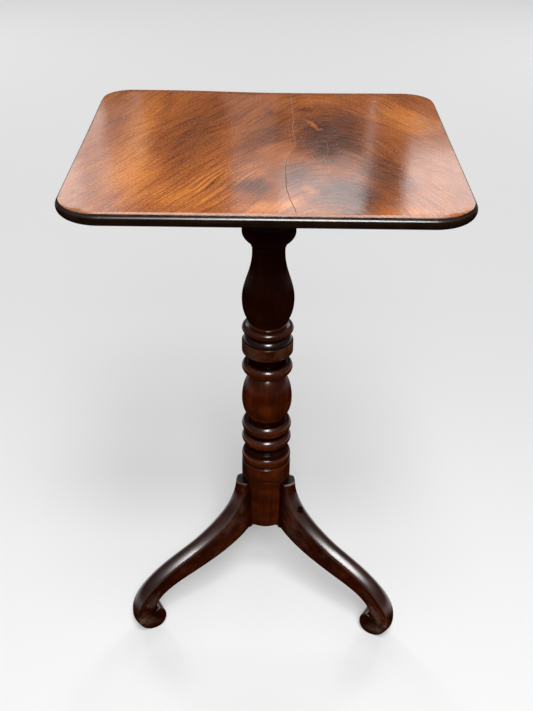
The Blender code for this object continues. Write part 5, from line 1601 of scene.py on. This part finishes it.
class TABLE_OT_screws(bpy.types.Operator):
    """Slotted screws of the brace, the sunk leg screw, the bearers, the catch and the keeper"""
    bl_idname = "table.screws"
    bl_label = "Screws"

    def execute(self, context):
        gear = context.scene.table_gear
        finish = context.scene.table_finish
        common = {"Slot width": gear.slot_width, "Slot depth": gear.slot_depth}
        large = {"Head radius": 3.8 * MM, "Head depth": 2.4 * MM, "Shank radius": 1.9 * MM, **common}
        small = {"Head radius": 2.6 * MM, "Head depth": 1.2 * MM, "Shank radius": 1.3 * MM,
                 "Slot width": 0.6 * gear.slot_width, "Slot depth": 0.6 * gear.slot_depth}
        outline = brace_outline(context.scene.table_column.radius)
        lower = list(reversed(outline[len(outline) // 2:]))
        places = []
        for name in HEADINGS:
            place = leg_place(name)
            for reach in (0.052, 0.070):
                level, slope = curve_at(lower, reach)
                normal = Vector((slope, 0, -1)).normalized()
                spot = Vector((reach, 0, level)) + normal * 0.1 * MM
                places.append((place @ spot, place.to_3x3() @ normal))
        places.append((AXIS + Vector((0, 0, COLUMN_LOW.z - 2.9 * MM)), Vector((0, 0, -1))))
        screws("brace_screw_heads", places, {**large, "Length": 14 * MM}, steel(finish), "stand",
               [f"brace_screw_{number}" for number in range(1, 8)])
        head, way = leg_screw_line()
        place = leg_place("right")
        screws("sunk_leg_screw", [(place @ head, place.to_3x3() @ way)], {**large, "Length": 38 * MM},
               steel(finish), "stand", ["leg_screw"])
        places = []
        for number in range(1, 7):
            low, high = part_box(f"bearer_screw_{number}")
            places.append((Vector(((low.x + high.x) / 2, (low.y + high.y) / 2, low.z)), Vector((0, 0, -1))))
        screws("bearer_screw_heads", places, {**large, "Length": 26 * MM}, steel(finish), "top",
               [f"bearer_screw_{number}" for number in range(1, 7)])
        places = []
        for number in range(1, 5):
            low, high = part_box(f"catch_screw_{number}")
            places.append((Vector(((low.x + high.x) / 2, (low.y + high.y) / 2, low.z - 0.05 * MM)),
                           Vector((0, 0, -1))))
        screws("catch_screw_heads", places, {**small, "Length": 9 * MM}, brass(finish), "top",
               [f"catch_screw_{number}" for number in range(1, 5)])
        places = []
        for number in range(1, 3):
            low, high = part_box(f"keeper_screw_{number}")
            places.append((Vector(((low.x + high.x) / 2, high.y + 0.05 * MM, (low.z + high.z) / 2)),
                           Vector((0, 1, 0))))
        screws("keeper_screw_heads", places, {**small, "Length": 9 * MM}, brass(finish), "stand",
               [f"keeper_screw_{number}" for number in range(1, 3)])
        return {"FINISHED"}


class TABLE_OT_stage(bpy.types.Operator):
    """Pale floor, soft lights, room light and the camera of the photograph"""
    bl_idname = "table.stage"
    bl_label = "Stage"

    def execute(self, context):
        sizes = context.scene.table_stage
        self.camera(context)
        self.floor(sizes)
        self.lights(sizes)
        self.room(context, sizes)
        context.scene.view_settings.view_transform = "Standard"
        return {"FINISHED"}

    @staticmethod
    def camera(context):
        data = bpy.data.cameras.new("photo_camera")
        data.sensor_fit = "AUTO"
        data.sensor_width = SENSOR
        data.lens = SENSOR * FOCAL_PIXELS / PHOTO_HEIGHT
        data.clip_start = 0.05
        data.clip_end = 60
        item = bpy.data.objects.new("photo_camera", data)
        spot = Matrix.Translation(AXIS + CAMERA_PLACE)
        tip = Matrix.Rotation(math.radians(90 - CAMERA_DOWN), 4, "X")
        roll = Matrix.Rotation(math.radians(CAMERA_ROLL), 4, "Z")
        item.matrix_world = spot @ tip @ roll
        context.scene.collection.objects.link(item)
        context.scene.camera = item

    @staticmethod
    def floor(sizes):
        bm = bmesh.new()
        bmesh.ops.create_grid(bm, x_segments=24, y_segments=24, size=FLOOR_REACH)
        mesh = mesh_of("floor", bm)
        item = bpy.data.objects.new("floor", mesh)
        bpy.context.scene.collection.objects.link(item)
        material, tree, shader = new_material("pale_floor")
        split = put(tree, "ShaderNodeSeparateXYZ", {"Vector": object_place(tree)}).outputs
        far = remap(tree, split["Y"], -0.15, 0.95)
        under_lamps = remap(tree, split["Y"], -1.10, -0.28)
        near = mix(tree, under_lamps, FLOOR_UNDER_LAMPS, sizes.floor_near)
        tint = mix(tree, far, near, sizes.floor_far)
        tree.links.new(tint, shader.inputs["Base Color"])
        shader.inputs["Roughness"].default_value = 0.9
        shader.inputs["Specular IOR Level"].default_value = 0.1
        glow = put(tree, "ShaderNodeEmission", {"Color": tint, "Strength": 1.0})
        path = put(tree, "ShaderNodeLightPath").outputs
        seen = calc(tree, "MAXIMUM", path["Is Camera Ray"],
                    calc(tree, "MAXIMUM", path["Is Glossy Ray"], path["Is Transmission Ray"]))
        reach = calc(tree, "SQRT", calc(tree, "ADD", calc(tree, "MULTIPLY", split["X"], split["X"]),
                                        calc(tree, "MULTIPLY", split["Y"], split["Y"])))
        pale = calc(tree, "MAXIMUM", remap(tree, split["Y"], 0.12, 0.80, 0.22, 0.74),
                    remap(tree, reach, 1.2, 2.4, 0.0, 0.74))
        share = calc(tree, "MULTIPLY", seen, pale)
        both = put(tree, "ShaderNodeMixShader", {0: share, 1: shader.outputs[0], 2: glow.outputs[0]})
        tree.links.new(both.outputs[0], tree.nodes["Material Output"].inputs["Surface"])
        mesh.materials.append(material)

    @staticmethod
    def lights(sizes):
        def lamp(name, spot, aim, wide, tall, power, mirrored=True):
            data = bpy.data.lights.new(name, "AREA")
            data.shape = "RECTANGLE"
            data.size = wide
            data.size_y = tall
            data.energy = power
            item = bpy.data.objects.new(name, data)
            item.location = spot
            item.rotation_euler = (Vector(aim) - Vector(spot)).to_track_quat("-Z", "Y").to_euler()
            item.visible_camera = False
            item.visible_glossy = mirrored
            bpy.context.scene.collection.objects.link(item)

        def card(name, left, right, low, high, share):
            spot = ((left + right) / 2, CARD_DISTANCE, (low + high) / 2)
            power = math.pi * (right - left) * (high - low) * sizes.card * share
            lamp(name, spot, (spot[0], 0.0, spot[2]), right - left, high - low, power)

        lamp("key_light", (0.16, -2.19, 2.40), (0.0, 0.0, 0.2), sizes.key_size, 0.95 * sizes.key_size,
             sizes.key_power)
        lamp("high_light", (0.24, -1.46, 2.94), (0.0, 0.0, 0.2), 0.7, 0.5, sizes.high_power)
        lamp("overhead_light", (0.06, -0.80, 3.10), (0.0, 0.0, 0.2), 0.6, 0.5, 0.32 * sizes.high_power)
        lamp("back_light", (0.0, 4.6, 3.95), (0, 0, 0.3), 2.6, 0.9, 1.5 * sizes.fill_power)
        for word, x in (("left", -1.9), ("right", 1.9)):
            lamp(f"side_light_{word}", (x, 3.4, 1.5), (0, 0, 0.4), 0.9, 1.2, 2.0 * sizes.fill_power, False)
        for name, sides in CARDS.items():
            card(f"card_{name}", *sides)

    @staticmethod
    def room(context, sizes):
        world = bpy.data.worlds.new("studio_room")
        context.scene.world = world
        world.use_nodes = True
        tree = world.node_tree
        tree.nodes.clear()
        way = put(tree, "ShaderNodeTexCoord").outputs["Generated"]
        split = put(tree, "ShaderNodeSeparateXYZ", {"Vector": way}).outputs
        height = remap(tree, split["Z"], 0.35, 0.95)
        tint = mix(tree, height, ROOM_LOW, ROOM_HIGH)
        light = put(tree, "ShaderNodeBackground", {"Color": tint, "Strength": sizes.room})
        out = tree.nodes.new("ShaderNodeOutputWorld")
        tree.links.new(light.outputs[0], out.inputs["Surface"])


class TABLE_PT_sidebar(bpy.types.Panel):
    """Steps and settings of the table"""
    bl_label = "Tripod table"
    bl_space_type = "VIEW_3D"
    bl_region_type = "UI"
    bl_category = "Table"

    def draw(self, context):
        for step in STEPS:
            self.layout.operator(step.bl_idname)
        for label in SETTINGS:
            box = self.layout.box()
            box.label(text=label.replace("_", " "))
            group = getattr(context.scene, label)
            for name in group.__annotations__:
                box.prop(group, name)


STEPS = (TABLE_OT_stage, TABLE_OT_top, TABLE_OT_column, TABLE_OT_legs, TABLE_OT_underframe, TABLE_OT_brace,
         TABLE_OT_catch, TABLE_OT_screws)
SETTINGS = {
    "table_top": TableTopSettings,
    "table_column": TableColumnSettings,
    "table_legs": TableLegSettings,
    "table_gear": TableGearSettings,
    "table_finish": TableFinishSettings,
    "table_stage": TableStageSettings,
}


def register():
    for label, group in SETTINGS.items():
        bpy.utils.register_class(group)
        setattr(bpy.types.Scene, label, PointerProperty(type=group))
    for step in STEPS:
        bpy.utils.register_class(step)
    bpy.utils.register_class(TABLE_PT_sidebar)


def unregister():
    bpy.utils.unregister_class(TABLE_PT_sidebar)
    for step in reversed(STEPS):
        bpy.utils.unregister_class(step)
    for label, group in SETTINGS.items():
        delattr(bpy.types.Scene, label)
        bpy.utils.unregister_class(group)


def main():
    for item in list(bpy.data.objects):
        if item.type in ("LIGHT", "CAMERA"):
            bpy.data.objects.remove(item)
    register()
    bpy.ops.table.stage()
    bpy.ops.table.top()
    bpy.ops.table.column()
    bpy.ops.table.legs()
    bpy.ops.table.underframe()
    bpy.ops.table.brace()
    bpy.ops.table.catch()
    bpy.ops.table.screws()


if __name__ == "__main__":
    main()
